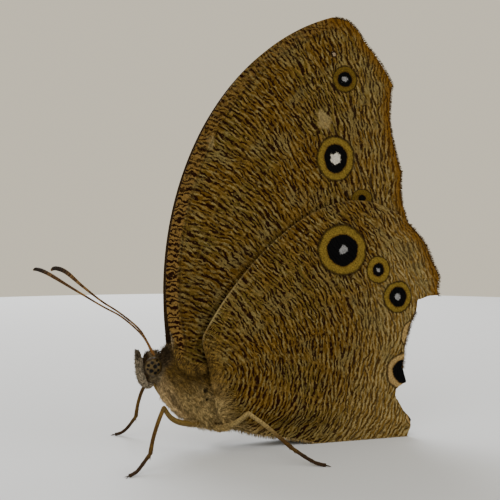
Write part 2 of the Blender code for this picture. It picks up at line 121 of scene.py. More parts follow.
# The body's stations, head to tail: top x, top z, bottom x, bottom z, half width
body = {
    "stations": [
        (-10.8, 8.35, -10.8, 8.05, 0.1), (-10.7, 8.85, -10.72, 7.45, 0.62),
        (-10.4, 9.35, -10.5, 6.98, 1.00), (-10.00, 9.5, -10.16, 6.7, 1.00),
        (-9.5, 9.46, -9.8, 6.62, 0.96), (-9.05, 9.3, -9.42, 6.46, 0.92),
        (-8.6, 9.6, -9.22, 6.05, 1.05), (-8.25, 9.95, -9.02, 5.5, 1.35),
        (-7.7, 10.12, -8.42, 4.68, 1.72), (-6.6, 9.85, -7.3, 3.48, 1.95),
        (-5.2, 9.05, -5.95, 2.58, 2.05), (-3.8, 8.05, -4.5, 2.08, 1.92),
        (-2.7, 7.05, -3.2, 2.1, 1.62), (-1.9, 6.3, -2.2, 2.36, 1.4),
        (0.00, 6.05, -0.3, 2.28, 1.46), (2.5, 5.65, 2.3, 2.04, 1.48),
        (5.00, 4.95, 4.9, 1.94, 1.28), (7.5, 4.05, 7.4, 1.94, 0.94),
        (9.3, 3.3, 9.2, 2.08, 0.54), (10.1, 2.85, 10.1, 2.45, 0.16),
    ],
    "around": 72,
    "along": 150,
}
# the solids' own stations, for the room that the wings leave round the body
solidStations = [
    (-8.6, 9.35, -8.76, 6.8, 0.9), (-8.42, 10.05, -9.02, 5.7, 1.4),
    (-7.8, 10.3, -8.5, 4.52, 1.85), (-6.6, 10.00, -7.4, 3.3, 2.1),
    (-5.2, 9.2, -6.00, 2.4, 2.2), (-3.8, 8.2, -4.55, 1.9, 2.05),
    (-2.7, 7.2, -3.2, 1.95, 1.75), (-1.9, 6.3, -2.2, 2.3, 1.45),
    (0.00, 6.2, -0.3, 2.15, 1.6), (2.5, 5.8, 2.3, 1.9, 1.62),
    (5.00, 5.1, 4.9, 1.8, 1.42), (7.5, 4.2, 7.4, 1.8, 1.08),
    (9.3, 3.45, 9.2, 1.95, 0.66), (10.2, 2.95, 10.15, 2.3, 0.28),
]
solidLine = smoothLine(solidStations, 6)


def bodyHalfWidth(points):
    # half the solid body's width at each (x, z), 0 where the body isn't
    width = np.zeros(len(points))
    x, z = points[:, 0], points[:, 1]
    across = []
    for s in solidLine:
        length = math.hypot(s[0] - s[2], s[1] - s[3])
        across.append(((s[0] - s[2]) * (z - s[3]) - (s[1] - s[3]) * (x - s[2])) / length)
    for i in range(len(solidLine) - 1):
        a, b = across[i], across[i + 1]
        here = (a <= 0) & (b > 0)
        share = np.where(here, a / np.where(here, a - b, 1), 0)[:, None]
        s = solidLine[i] + (solidLine[i + 1] - solidLine[i]) * share
        length = np.hypot(s[:, 0] - s[:, 2], s[:, 1] - s[:, 3])
        height = ((x - s[:, 2]) * (s[:, 0] - s[:, 2]) + (z - s[:, 3]) * (s[:, 1] - s[:, 3])) / length
        up = np.clip(2 * height / length - 1, -1, 1)
        width = np.where(here, s[:, 4] * np.sqrt(1 - up * up), width)
    return width


# How the closed wings stand: the same rules as in the solids
wingStack = {
    "root": (-6.8, 8.8),
    "clearance": 0.5,
    "spread": 1.5,
    "reach": 3.8,
    "spacing": 1.05,
    "bodyRoom": 0.68,
    "thickness": 0.13,
    "draw": 0.18,
    "pleat": 0.07,
    "veinUnder": 0.07,
    "veinUpper": -0.03,
}


def wingDepth(points, layer):
    # distance of a wing's middle surface from the middle plane; layer 0 forewing, 1 hindwing
    s = wingStack
    away = np.hypot(points[:, 0] - s["root"][0], points[:, 1] - s["root"][1])
    lean = s["clearance"] + s["spread"] * np.exp(-((away / s["reach"]) ** 1.5)) + layer * s["spacing"]
    width = bodyHalfWidth(points)
    clear = width + s["bodyRoom"]
    soft = 0.5 * (lean + clear + np.sqrt((lean - clear) ** 2 + 0.35**2))
    # forewing drawn out and hindwing drawn in, so that they lie close
    return np.where((width == 0) & (layer == 0), lean, soft) + s["draw"] * (1 - 2 * layer)


foreWing = {
    "costa": [(-8.23, 10.37), (-10.36, 22.71), (-4.46, 38.63), (8.41, 42.52)],
    "edge": [
        (10.1, 42.25, 0.08), (11.3, 41.1, 0.06), (12.6, 39.45, -0.05), (14.95, 36.1, 0.15),
        (14.65, 32.2, -0.1), (15.95, 27.2, -0.12), (16.1, 23.6, -0.12), (16.9, 20.6, 0.1),
    ],
    "inner": [(-5.0, 8.3), (3.5, 12.6), (10.0, 15.3), (16.9, 20.6)],
    "base": [(-8.23, 10.37), (-8.0, 8.0), (-6.2, 7.7), (-5.0, 8.3)],
    "veins": [
        [(-7.1, 9.3), (-7.8, 15.4), (-7.0, 23.8), (-3.9, 30.9)],
        [(-6.9, 9.2), (-6.9, 15.0), (-4.9, 22.5), (-1.2, 28.2)],
        [(-3.9, 23.7), (-3.0, 27.5), (-1.4, 31.2), (1.2, 36.6)],
        [(-1.2, 28.2), (0.3, 31.5), (2.8, 35.8), (6.0, 40.2)],
        [(-1.2, 28.2), (2.0, 33.0), (6.0, 37.3), (11.3, 41.1)],
        [(-1.2, 28.2), (2.6, 31.8), (7.0, 35.6), (12.6, 39.45)],
        [(-1.2, 28.2), (1.3, 27.4), (3.4, 25.2), (4.0, 21.9)],
        [(1.6, 26.8), (5.2, 30.2), (9.5, 33.6), (14.95, 36.1)],
        [(4.0, 21.9), (6.8, 26.0), (10.4, 29.8), (14.65, 32.2)],
        [(-6.6, 9.0), (-5.0, 13.6), (-1.0, 18.2), (4.0, 21.9)],
        [(2.1, 20.6), (6.0, 23.6), (10.8, 26.3), (15.95, 27.2)],
        [(-1.6, 17.4), (3.4, 20.6), (9.6, 23.3), (16.1, 23.6)],
        [(-6.3, 8.9), (-1.0, 13.2), (7.0, 17.2), (16.9, 20.6)],
    ],
    "across": 120,
    "along": 220,
    "layer": 0,
    "inset": 0.9955,
}
hindWing = {
    "costaLow": [(-4.96, 8.95), (-5.29, 9.7), (-5.78, 10.75), (-5.15, 11.51)],
    "costa": [(-5.15, 11.51), (-1.15, 17.99), (8.24, 28.76), (16.28, 21.84)],
    "edge": [(18.1, 19.9, 0.08), (19.15, 17.7, 0.1), (19.9, 16.05, 0.08), (19.85, 14.3, -0.15)],
    "tear": [
        (18.6, 14.2), (17.45, 13.85), (17.35, 12.8), (16.7, 11.5), (16.0, 9.2), (15.8, 7.0), (16.2, 5.5),
        (15.6, 5.3), (15.0, 4.9), (14.9, 4.3), (15.8, 2.75), (16.7, 1.8), (16.6, 0.9), (16.2, 0.0),
    ],
    "inner": [(-2.5, 2.2), (1.4, 0.6), (3.2, 1.05), (6.1, 0.0)],
    "base": [(-4.96, 8.95), (-4.5, 6.2), (-4.1, 3.4), (-2.5, 2.2)],
    "veins": [
        [(-4.3, 8.3), (-4.2, 13.6), (4.0, 24.6), (15.2, 22.4)],
        [(-4.2, 8.0), (-1.6, 14.6), (6.0, 20.8), (18.1, 19.9)],
        [(-4.1, 7.6), (-2.4, 10.6), (1.0, 13.4), (5.0, 15.2)],
        [(5.0, 15.2), (8.6, 17.2), (13.6, 18.4), (19.15, 17.7)],
        [(5.0, 15.2), (6.8, 14.6), (7.9, 13.2), (7.4, 11.2)],
        [(7.3, 13.6), (11.0, 15.4), (15.4, 16.4), (19.9, 16.05)],
        [(7.4, 11.2), (11.0, 12.6), (15.0, 13.7), (19.85, 14.3)],
        [(-4.0, 7.2), (-1.2, 8.8), (3.0, 9.2), (7.4, 11.2)],
        [(6.1, 10.4), (9.0, 9.9), (12.4, 8.9), (16.0, 8.3)],
        [(2.6, 9.1), (6.6, 8.0), (11.0, 6.0), (14.9, 4.5)],
        [(-3.9, 6.8), (1.0, 6.4), (9.0, 3.6), (16.5, 1.0)],
    ],
    "across": 150,
    "along": 150,
    "layer": 1,
    "inset": 0.994,
}


# Node helpers

def link(tree, value, socket):
    if isinstance(value, bpy.types.NodeSocket):
        tree.links.new(value, socket)
    elif value is not None:
        socket.default_value = value


def mathNode(tree, operation, a, b=None):
    made = tree.nodes.new("ShaderNodeMath")
    made.operation = operation
    link(tree, a, made.inputs[0])
    link(tree, b, made.inputs[1])
    return made.outputs[0]


def plus(tree, a, b):
    return mathNode(tree, "ADD", a, b)


def minus(tree, a, b):
    return mathNode(tree, "SUBTRACT", a, b)


def times(tree, a, b):
    return mathNode(tree, "MULTIPLY", a, b)


def swing(tree, value, weight):
    # a noise's swing about its middle
    return times(tree, minus(tree, value, 0.5), weight)


def apart(tree, a, b):
    return mathNode(tree, "ABSOLUTE", minus(tree, a, b))


def vectorNode(tree, operation, a, b=None):
    made = tree.nodes.new("ShaderNodeVectorMath")
    made.operation = operation
    link(tree, a, made.inputs[0])
    link(tree, b, made.inputs[1])
    return made.outputs["Value" if operation == "LENGTH" else "Vector"]


def distanceFrom(tree, where, centre, stretch):
    away = vectorNode(tree, "SUBTRACT", where, centre)
    return vectorNode(tree, "LENGTH", vectorNode(tree, "MULTIPLY", away, stretch))


def xAndZ(tree, where):
    parts = tree.nodes.new("ShaderNodeSeparateXYZ")
    link(tree, where, parts.inputs[0])
    return parts.outputs[0], parts.outputs[2]


def flatPlace(tree, x, y):
    made = tree.nodes.new("ShaderNodeCombineXYZ")
    link(tree, x, made.inputs[0])
    link(tree, y, made.inputs[1])
    return made.outputs[0]


def ramp(tree, value, low, high, toLow=0.0, toHigh=1.0):
    made = tree.nodes.new("ShaderNodeMapRange")
    made.interpolation_type = "SMOOTHSTEP"
    names = ("Value", "From Min", "From Max", "To Min", "To Max")
    for name, given in zip(names, (value, low, high, toLow, toHigh)):
        link(tree, given, made.inputs[name])
    return made.outputs[0]


def mix(tree, share, a, b, blend="MIX"):
    made = tree.nodes.new("ShaderNodeMix")
    made.data_type = "RGBA"
    made.blend_type = blend
    link(tree, share, made.inputs[0])
    for value, socket in ((a, made.inputs[6]), (b, made.inputs[7])):
        link(tree, (*value, 1.0) if isinstance(value, tuple) else value, socket)
    return made.outputs[2]


def layOn(tree, colour, top, value, low, high, most=1.0):
    # a top colour laid on a colour: none of it where the value is at low, the most at high
    return mix(tree, ramp(tree, value, low, high, 0.0, most), colour, top)


def shaded(tree, colour, factor):
    return mix(tree, 1.0, colour, factor, "MULTIPLY")


def noise(tree, vector, scale, detail=2.0, roughness=0.5, output="Fac"):
    made = tree.nodes.new("ShaderNodeTexNoise")
    values = (vector, scale, detail, roughness)
    for name, value in zip(("Vector", "Scale", "Detail", "Roughness"), values):
        link(tree, value, made.inputs[name])
    return made.outputs[output]


def attribute(tree, name):
    made = tree.nodes.new("ShaderNodeAttribute")
    made.attribute_name = name
    return made.outputs["Fac"]


def millimetres(tree):
    # Object coordinates as the millimetres used here
    made = tree.nodes.new("ShaderNodeTexCoord")
    scaled = vectorNode(tree, "MULTIPLY", made.outputs["Object"], (1000, 1000, 1000))
    return vectorNode(tree, "SUBTRACT", scaled, (frameShift, 0, 0))


def newGroup(name, inputs, outputs):
    tree = bpy.data.node_groups.new(name, "ShaderNodeTree")
    for socketName, kind, value in inputs:
        made = tree.interface.new_socket(socketName, in_out="INPUT", socket_type=kind)
        if value is not None:
            made.default_value = value
    for socketName, kind in outputs:
        tree.interface.new_socket(socketName, in_out="OUTPUT", socket_type=kind)
    return tree, tree.nodes.new("NodeGroupInput").outputs, tree.nodes.new("NodeGroupOutput").inputs


def useGroup(tree, group, **values):
    made = tree.nodes.new("ShaderNodeGroup")
    made.node_tree = group
    for name, value in values.items():
        if name.endswith("Colour") and isinstance(value, tuple):
            value = (*value, 1.0)
        link(tree, value, made.inputs[name])
    return made.outputs


def newMaterial(name, roughness, specular=0.12):
    made = bpy.data.materials.new(name)
    made.use_nodes = True
    shader = made.node_tree.nodes["Principled BSDF"]
    shader.inputs["Roughness"].default_value = roughness
    shader.inputs["Specular IOR Level"].default_value = specular
    return made, made.node_tree, shader


def paint(tree, shader, colour):
    link(tree, colour, shader.inputs["Base Color"])


def bump(tree, shader, height, strength, distance):
    made = tree.nodes.new("ShaderNodeBump")
    made.inputs["Strength"].default_value = strength
    made.inputs["Distance"].default_value = distance
    tree.links.new(height, made.inputs["Height"])
    tree.links.new(made.outputs["Normal"], shader.inputs["Normal"])


# Layers of strokes: patches a millimetre, waves a patch, share in the dark streaks
streakLayers = [(0.62, 1.5, 0.45), (1.0, 1.7, 0.8), (1.7, 1.7, 1.0)]
glintLayer = (1.3, 1.6, 1.0)


def streakGroup():
    # short ragged strokes that lie the way the wing says, in a few sizes
    tree, given, out = newGroup(
        "scaleStreaks",
        [("Place", "NodeSocketVector", None), ("Lie", "NodeSocketFloat", 60.0),
         ("Fineness", "NodeSocketFloat", 1.0), ("Raggedness", "NodeSocketFloat", 0.4),
         ("Turning", "NodeSocketFloat", 95.0)],
        [("Streak", "NodeSocketFloat"), ("Glint", "NodeSocketFloat"), ("Breaks", "NodeSocketFloat")],
    )
    where = given["Place"]
    ragged = noise(tree, where, 2.4, 3.0, 0.7, "Color")
    shift = vectorNode(tree, "SUBTRACT", ragged, (0.5, 0.5, 0.5))
    scaled = tree.nodes.new("ShaderNodeVectorMath")
    scaled.operation = "SCALE"
    link(tree, shift, scaled.inputs[0])
    link(tree, given["Raggedness"], scaled.inputs["Scale"])
    x, z = xAndZ(tree, vectorNode(tree, "ADD", where, scaled.outputs["Vector"]))
    turning = swing(tree, noise(tree, where, 0.8, 2.0, 0.6), given["Turning"])
    lie = plus(tree, given["Lie"], turning)
    across = mathNode(tree, "RADIANS", minus(tree, 90.0, lie))
    streak = 0.0
    for i, (patches, waves, share) in enumerate([*streakLayers, glintLayer]):
        made = tree.nodes.new("ShaderNodeTexGabor")
        link(tree, flatPlace(tree, x, plus(tree, z, 40.0 * i)), made.inputs["Vector"])
        link(tree, times(tree, given["Fineness"], patches), made.inputs["Scale"])
        made.inputs["Frequency"].default_value = waves
        made.inputs["Anisotropy"].default_value = 1.0
        link(tree, across, made.inputs["Orientation"])
        stroke = swing(tree, made.outputs["Value"], 12.0 * share)
        if i < len(streakLayers):
            streak = plus(tree, stroke, streak)
    link(tree, streak, out["Streak"])
    link(tree, stroke, out["Glint"])
    link(tree, minus(tree, noise(tree, where, 1.6, 2.0, 0.6), 0.5), out["Breaks"])
    return tree


eyespotLook = {
    "rim": (0.01, 0.0045, 0.001),
    "warm": (0.05, 0.018, 0.002),
    "black": (0.0012, 0.0012, 0.0014),
}


def eyespotGroup():
    # a ringed eyespot drawn over a colour: tan ring with a dark rim, black disc and pale pupil
    tree, given, out = newGroup(
        "eyespot",
        [("Colour", "NodeSocketColor", None), ("Place", "NodeSocketVector", None),
         ("Centre", "NodeSocketVector", None), ("Ring", "NodeSocketFloat", 1.0),
         ("Black", "NodeSocketFloat", 0.5), ("Height", "NodeSocketFloat", 1.0),
         ("Pupil", "NodeSocketFloat", 0.2), ("Raggedness", "NodeSocketFloat", 0.075),
         ("RingColour", "NodeSocketColor", None), ("PupilColour", "NodeSocketColor", None)],
        [("Colour", "NodeSocketColor")],
    )
    where, ring, black = given["Place"], given["Ring"], given["Black"]
    x, z = xAndZ(tree, vectorNode(tree, "SUBTRACT", where, given["Centre"]))
    flat = flatPlace(tree, x, mathNode(tree, "DIVIDE", z, given["Height"]))
    distance = vectorNode(tree, "LENGTH", flat)
    distance = plus(tree, distance, swing(tree, noise(tree, where, 6.5, 3.0, 0.65), 0.3))
    wobble = swing(tree, noise(tree, where, 0.8, 1.0, 0.5), times(tree, black, 0.26))
    distance = plus(tree, distance, wobble)
    grain = noise(tree, where, 7.0, 3.0, 0.7)
    shade = shaded(tree, given["RingColour"], ramp(tree, grain, 0.3, 0.7, 0.66, 1.25))
    inside = ramp(tree, minus(tree, distance, ring), 0.04, -0.06)
    colour = mix(tree, inside, given["Colour"], shade)
    rim = mathNode(tree, "DIVIDE", apart(tree, distance, ring), ring)
    colour = layOn(tree, colour, eyespotLook["rim"], rim, 0.1, 0.015, 0.78)
    colour = layOn(tree, colour, eyespotLook["warm"], apart(tree, distance, black), 0.16, 0.04, 0.6)
    colour = layOn(tree, colour, eyespotLook["black"], minus(tree, distance, black), 0.04, -0.04)
    torn = swing(tree, noise(tree, where, 3.6, 3.0, 0.7), times(tree, given["Raggedness"], 9.0))
    middle = plus(tree, minus(tree, distance, given["Pupil"]), torn)
    colour = layOn(tree, colour, given["PupilColour"], middle, 0.05, -0.07)
    link(tree, colour, out["Colour"])
    return tree


# Wool: grey-beige on the chest, darker at the neck and towards the wings, with painted shadow spots in the
# gaps by the hindwing's root

wool = {
    "upper": (0.15, 0.09, 0.021),
    "lower": (0.39, 0.285, 0.12),
    "front": (0.39, 0.282, 0.14),
    "rear": (0.165, 0.104, 0.018),
    "low": (0.255, 0.185, 0.08),
    "nape": (0.06, 0.04, 0.02),
    "napePlace": (-8.75, 0.0, 9.2),
    "face": (0.05, 0.03, 0.012),
    "gapShadows": [(-5.12, 5.95, 0.2), (-5.0, 5.12, 0.13)],
    "gapShade": (0.006, 0.004, 0.002),
    "head": (0.19, 0.145, 0.082),
}


def woolGroup():
    tree, given, out = newGroup(
        "woolTone",
        [("Place", "NodeSocketVector", None), ("Tint", "NodeSocketFloat", 0.5)],
        [("Colour", "NodeSocketColor")],
    )
    where = given["Place"]
    x, z = xAndZ(tree, where)
    height = plus(tree, z, swing(tree, noise(tree, where, 0.9, 3.0, 0.6), 5.0))
    colour = mix(tree, ramp(tree, height, 7.5, 3.9), wool["upper"], wool["lower"])
    rear = mix(tree, ramp(tree, z, 4.6, 1.6), wool["rear"], wool["low"])
    colour = layOn(tree, colour, rear, x, -4.2, -1.4)
    ahead = plus(tree, times(tree, z, 0.55), x)
    colour = layOn(tree, colour, wool["front"], ahead, -4.2, -5.6)
    high = plus(tree, x, times(tree, z, -0.3))
    colour = layOn(tree, colour, wool["head"], high, -11.0, -11.5)
    colour = layOn(tree, colour, wool["face"], x, -10.05, -10.35)
    torn = noise(tree, where, 5.0, 2.0, 0.6)
    # painted shadow: dark spots where the gaps between the chest wool and the hindwing's root lie in shade
    for gapX, gapZ, size in wool["gapShadows"]:
        away = distanceFrom(tree, where, (gapX, 0, gapZ), (1, 0, 1))
        away = plus(tree, away, swing(tree, torn, 1.4 * size))
        colour = layOn(tree, colour, wool["gapShade"], away, size * 1.3, size * 0.7, 0.9)
    away = distanceFrom(tree, where, wool["napePlace"], (1.0, 0.35, 0.75))
    colour = layOn(tree, colour, wool["nape"], away, 1.25, 0.45)
    tint = ramp(tree, given["Tint"], 0.0, 1.0, 0.45, 1.6)
    clumps = ramp(tree, noise(tree, where, 3.4, 3.0, 0.65), 0.36, 0.64, 0.62, 1.36)
    link(tree, shaded(tree, colour, times(tree, tint, clumps)), out["Colour"])
    return tree


woolTone = woolGroup()
scaleStreaks = streakGroup()
eyespot = eyespotGroup()

# Eyespots on the undersides: x, z, ring radius, black radius, height over width, pupil radius, pupil's
# and ring's colour
tan = (0.156, 0.104, 0.016)
olive = (0.098, 0.062, 0.008)
paleTan = (0.3, 0.2, 0.075)
white = (0.5, 0.47, 0.4)
grey = (0.2, 0.2, 0.205)
wingLook = {
    "light": (0.148, 0.087, 0.018),
    "pale": (0.188, 0.146, 0.054),
    "shade": (0.08, 0.04, 0.003),
    "dark": (0.01, 0.0015, 0.0),
    "edge": (0.12, 0.054, 0.004),
    "olive": (0.08, 0.054, 0.009),
    # pale tone of the outer ground and flecks, also used for the painted highlight along the hindwing's
    # front edge
    "paleAndHighlight": (0.278, 0.212, 0.09),
    "greyed": (0.15, 0.118, 0.042),
    "outer": {"forewing": 0.4, "hindwing": 0.9},
    "low": {"forewing": 0.0, "hindwing": 0.25},
    "fineness": {"forewing": 1.0, "hindwing": 1.1},
    "downy": {"forewing": (1.8, 0.6), "hindwing": (3.1, 1.0)},
    "flecks": {"forewing": [(7.4, 32.2, 0.9), (-4.4, 29.6, 0.5)], "hindwing": []},
    "upper": (0.045, 0.026, 0.012),
    "strip": (0.168, 0.098, 0.027),
    "stripLine": (0.012, 0.006, 0.002),
    "outline": (0.03, 0.013, 0.003),
    "forewing": [
        (8.33, 38.75, 0.34, 0.3, 1.0, 0.2, (0.26, 0.19, 0.12), olive),
        (9.53, 36.31, 1.32, 0.76, 0.98, 0.3, grey, olive),
        (8.55, 28.28, 1.95, 1.24, 1.15, 0.54, white, tan),
        (11.42, 24.35, 1.12, 0.42, 0.8, 0.0, grey, olive),
    ],
    "hindwing": [
        (8.98, 19.09, 2.55, 1.64, 0.98, 0.4, grey, tan),
        (12.89, 17.08, 1.28, 0.62, 1.05, 0.2, grey, tan),
        (15.05, 14.31, 1.52, 0.94, 1.05, 0.3, grey, tan),
        (16.75, 10.3, 1.25, -1.0, 1.2, -1.0, grey, paleTan),
        (15.78, 6.68, 1.92, 1.25, 0.98, -1.0, grey, paleTan),
        (16.9, 2.05, 0.95, 0.62, 1.0, -1.0, grey, paleTan),
    ],
}


def wingMaterial(name, kind):
    look = wingLook
    made, tree, shader = newMaterial(name, 0.72, 0.04)
    where = millimetres(tree)
    x, z = xAndZ(tree, where)
    strokes = useGroup(tree, scaleStreaks, Place=where, Lie=attribute(tree, "lie"),
                       Fineness=look["fineness"][kind])
    streak, glint, breaks = (strokes[name] for name in ("Streak", "Glint", "Breaks"))
    cloud = noise(tree, where, 0.16, 3.0, 0.6)
    patch = noise(tree, where, 1.1, 3.0, 0.55)
    grain = noise(tree, where, 9.0, 3.0, 0.7)
    # the ground: brown that drifts to olive, paler towards the outer edge, with paler strokes on it
    low = times(tree, minus(tree, 10.0, z), look["low"][kind])
    outer = plus(tree, plus(tree, x, times(tree, cloud, 6.0)), low)
    outer = ramp(tree, outer, 10.0, 19.0, 0.0, look["outer"][kind])
    light = mix(tree, ramp(tree, patch, 0.35, 0.7), look["light"], look["pale"])
    light = mix(tree, outer, light, look["paleAndHighlight"])
    shade = mix(tree, ramp(tree, cloud, 0.45, 0.62), look["shade"], look["olive"])
    shade = mix(tree, outer, shade, look["light"])
    shine = plus(tree, glint, times(tree, breaks, -2.0))
    colour = mix(tree, ramp(tree, shine, -0.8, 1.5), shade, light)
    blotch = noise(tree, where, 0.42, 3.0, 0.65)
    colour = layOn(tree, colour, look["greyed"], blotch, 0.5, 0.66, 0.6)
    down = useGroup(tree, woolTone, Place=where, Tint=grain)["Colour"]
    downy = plus(tree, attribute(tree, "base"), times(tree, patch, 2.0))
    downy = ramp(tree, downy, *look["downy"][kind], 0.0, 0.85)
    colour = mix(tree, downy, colour, down)
    # dark broken strokes, fainter in the down and on the paler outer ground
    crest = plus(tree, streak, swing(tree, cloud, 1.2))
    crest = ramp(tree, plus(tree, crest, swing(tree, patch, 1.3)), 0.0, 0.85)
    present = ramp(tree, breaks, -0.2, 0.0, 0.15, 1.0)
    inked = minus(tree, 0.98, times(tree, outer, 0.35))
    inked = times(tree, inked, minus(tree, 1.0, times(tree, downy, 0.3)))
    colour = mix(tree, times(tree, crest, times(tree, inked, present)), colour, look["dark"])
    for fleckX, fleckZ, size in look["flecks"][kind]:
        away = distanceFrom(tree, where, (fleckX, 0, fleckZ), (1, 0, 0.8))
        away = plus(tree, away, swing(tree, patch, size * 3.0))
        colour = layOn(tree, colour, look["paleAndHighlight"], away, size, size * 0.5, 0.55)
    colour = layOn(tree, colour, look["light"], attribute(tree, "vein"), 0.35, 1.0, 0.3)
    # front strip of the forewing: short bars across an orange-brown ground
    if kind == "forewing":
        # painted shade: the forewing darker towards its low end, near the body
        colour = shaded(tree, colour, ramp(tree, z, 9.0, 24.0, 0.74, 1.0))
        barPlace = vectorNode(tree, "MULTIPLY", where, (1.5, 0.3, 1.5))
        waver = times(tree, noise(tree, barPlace, 1.0, 3.0, 0.6), 22.0)
        bars = mathNode(tree, "SINE", plus(tree, times(tree, z, 13.0), waver))
        bars = ramp(tree, plus(tree, bars, swing(tree, grain, 3.0)), -0.45, 0.4)
        front = mix(tree, bars, look["strip"], look["dark"])
        strip = ramp(tree, attribute(tree, "costa"), 1.25, 0.95)
        strip = times(tree, strip, ramp(tree, z, 36.0, 22.0, 0.45, 0.95))
        colour = mix(tree, strip, colour, front)
        fine = apart(tree, attribute(tree, "costa"), 1.3)
        colour = layOn(tree, colour, look["stripLine"], fine, 0.14, 0.04, 0.4)
    else:
        # painted highlight: a pale line along the hindwing's front edge where the edge catches light,
        # strongest near the root
        front = ramp(tree, attribute(tree, "costa"), 0.2, 0.08)
        front = times(tree, front, ramp(tree, z, 18.0, 13.0, 0.12, 0.75))
        colour = mix(tree, front, colour, look["paleAndHighlight"])
    rim = plus(tree, attribute(tree, "margin"), times(tree, patch, 0.9))
    rimColour = mix(tree, ramp(tree, streak, 0.2, 0.9, 0.0, 0.6), look["edge"], look["dark"])
    colour = layOn(tree, colour, rimColour, rim, 2.0, 0.7, 0.9)
    for spotX, spotZ, ring, black, height, pupil, pupilColour, ringColour in look[kind]:
        colour = useGroup(
            tree, eyespot, Colour=colour, Place=where, Centre=(spotX, 0, spotZ), Ring=ring, Black=black,
            Height=height, Pupil=pupil, RingColour=ringColour, PupilColour=pupilColour,
        )["Colour"]
    colour = layOn(tree, colour, look["outline"], attribute(tree, "margin"), 0.22, 0.05, 0.75)
    colour = shaded(tree, colour, ramp(tree, grain, 0.25, 0.75, 0.58, 1.42))
    colour = layOn(tree, colour, look["upper"], attribute(tree, "base"), 0.25, 0.05)
    colour = mix(tree, attribute(tree, "upper"), colour, look["upper"])
    paint(tree, shader, colour)
    bump(tree, shader, minus(tree, times(tree, grain, 0.6), times(tree, streak, 0.5)), 0.5, 0.00006)
    return made


def layGrid(name, across, along, toPlace):
    # a grid primitive whose points are laid onto a shape by their shares across and along
    deselectAll()
    bpy.ops.mesh.primitive_grid_add(x_subdivisions=across, y_subdivisions=along, size=1)
    made = bpy.context.object
    made.name = name
    count = len(made.data.vertices)
    flat = np.empty(count * 3)
    made.data.vertices.foreach_get("co", flat)
    flat = flat.reshape(-1, 3)
    points = toPlace(np.round(flat[:, 0] + 0.5, 6), np.round(flat[:, 1] + 0.5, 6))
    made.data.vertices.foreach_set("co", points.ravel())
    made.data.update()
    return made


def meshPoints(made):
    flat = np.empty(len(made.data.vertices) * 3)
    made.data.vertices.foreach_get("co", flat)
    return flat.reshape(-1, 3)


def setAttribute(made, name, values):
    layer = made.data.attributes.get(name) or made.data.attributes.new(name, "FLOAT", "POINT")
    layer.data.foreach_set("value", np.asarray(values, dtype=np.float32))


def outwards(made):
    deselectAll()
    bpy.context.view_layer.objects.active = made
    made.select_set(True)
    bpy.ops.object.mode_set(mode="EDIT")
    bpy.ops.mesh.select_all(action="SELECT")
    bpy.ops.mesh.remove_doubles(threshold=1e-7)
    bpy.ops.mesh.normals_make_consistent(inside=False)
    bpy.ops.object.mode_set(mode="OBJECT")


def wingSides(wing):
    costa = bezier(wing["costa"], 120)
    if "tear" not in wing:
        return costa, scallops(costa[-1], wing["edge"]), bezier(wing["inner"], 100), bezier(wing["base"], 30)
    costa = np.vstack([bezier(wing["costaLow"], 30), costa[1:]])
    edge = scallops(costa[-1], wing["edge"])
    # the torn stretch: its corners, then small nicks between them
    wing["whole"] = edge
    torn = spaced(np.vstack([edge[-1:], wing["tear"]]), np.linspace(0, 1, 140))
    step = np.gradient(torn, axis=0)
    out = np.stack([-step[:, 1], step[:, 0]], axis=1) / np.linalg.norm(step, axis=1)[:, None]
    nicks = chance.normal(0, 0.035, 140) + 0.025 * np.sin(np.arange(140) * 1.3)
    nicks[[0, -1]] = 0
    torn = torn - out * np.abs(nicks)[:, None]
    torn[:, 1] = np.maximum(torn[:, 1], 0)
    inner = np.vstack([bezier(wing["inner"], 60), [wing["tear"][-1]]])
    return costa, np.vstack([edge, torn[1:]]), inner, bezier(wing["base"], 30)


def wingLie(points, kind):
    # the way the streaks run, in degrees down to the right
    x, z = points[:, 0], points[:, 1]
    if kind == "forewing":
        return np.clip(40.5 + 3.1 * x, 20, 95)
    fan = np.degrees(np.arctan2(z - 8.0, x + 5.0))
    lie = 90 - fan + np.maximum(0, fan - 40) * 0.75
    lie += np.clip(3 - z, 0, 3) * 7 + 2.8 * (np.clip(x, -1, 14) - 7) * np.exp(-(((z - 8.6) / 2.2) ** 2))
    return np.clip(lie, 22, 150)


def wingRelief(points, wing):
    # raised veins, and shallow pleats between them
    veins = [bezier(v, 24) for v in wing["veins"]]
    away = np.min([distanceTo(points, v) for v in veins], axis=0)
    ridge = np.clip(1 - away / 0.26, 0, 1)
    pleat = np.clip(away / 1.6, 0, 1)
    return ridge * ridge * (3 - 2 * ridge), pleat * pleat * (3 - 2 * pleat)


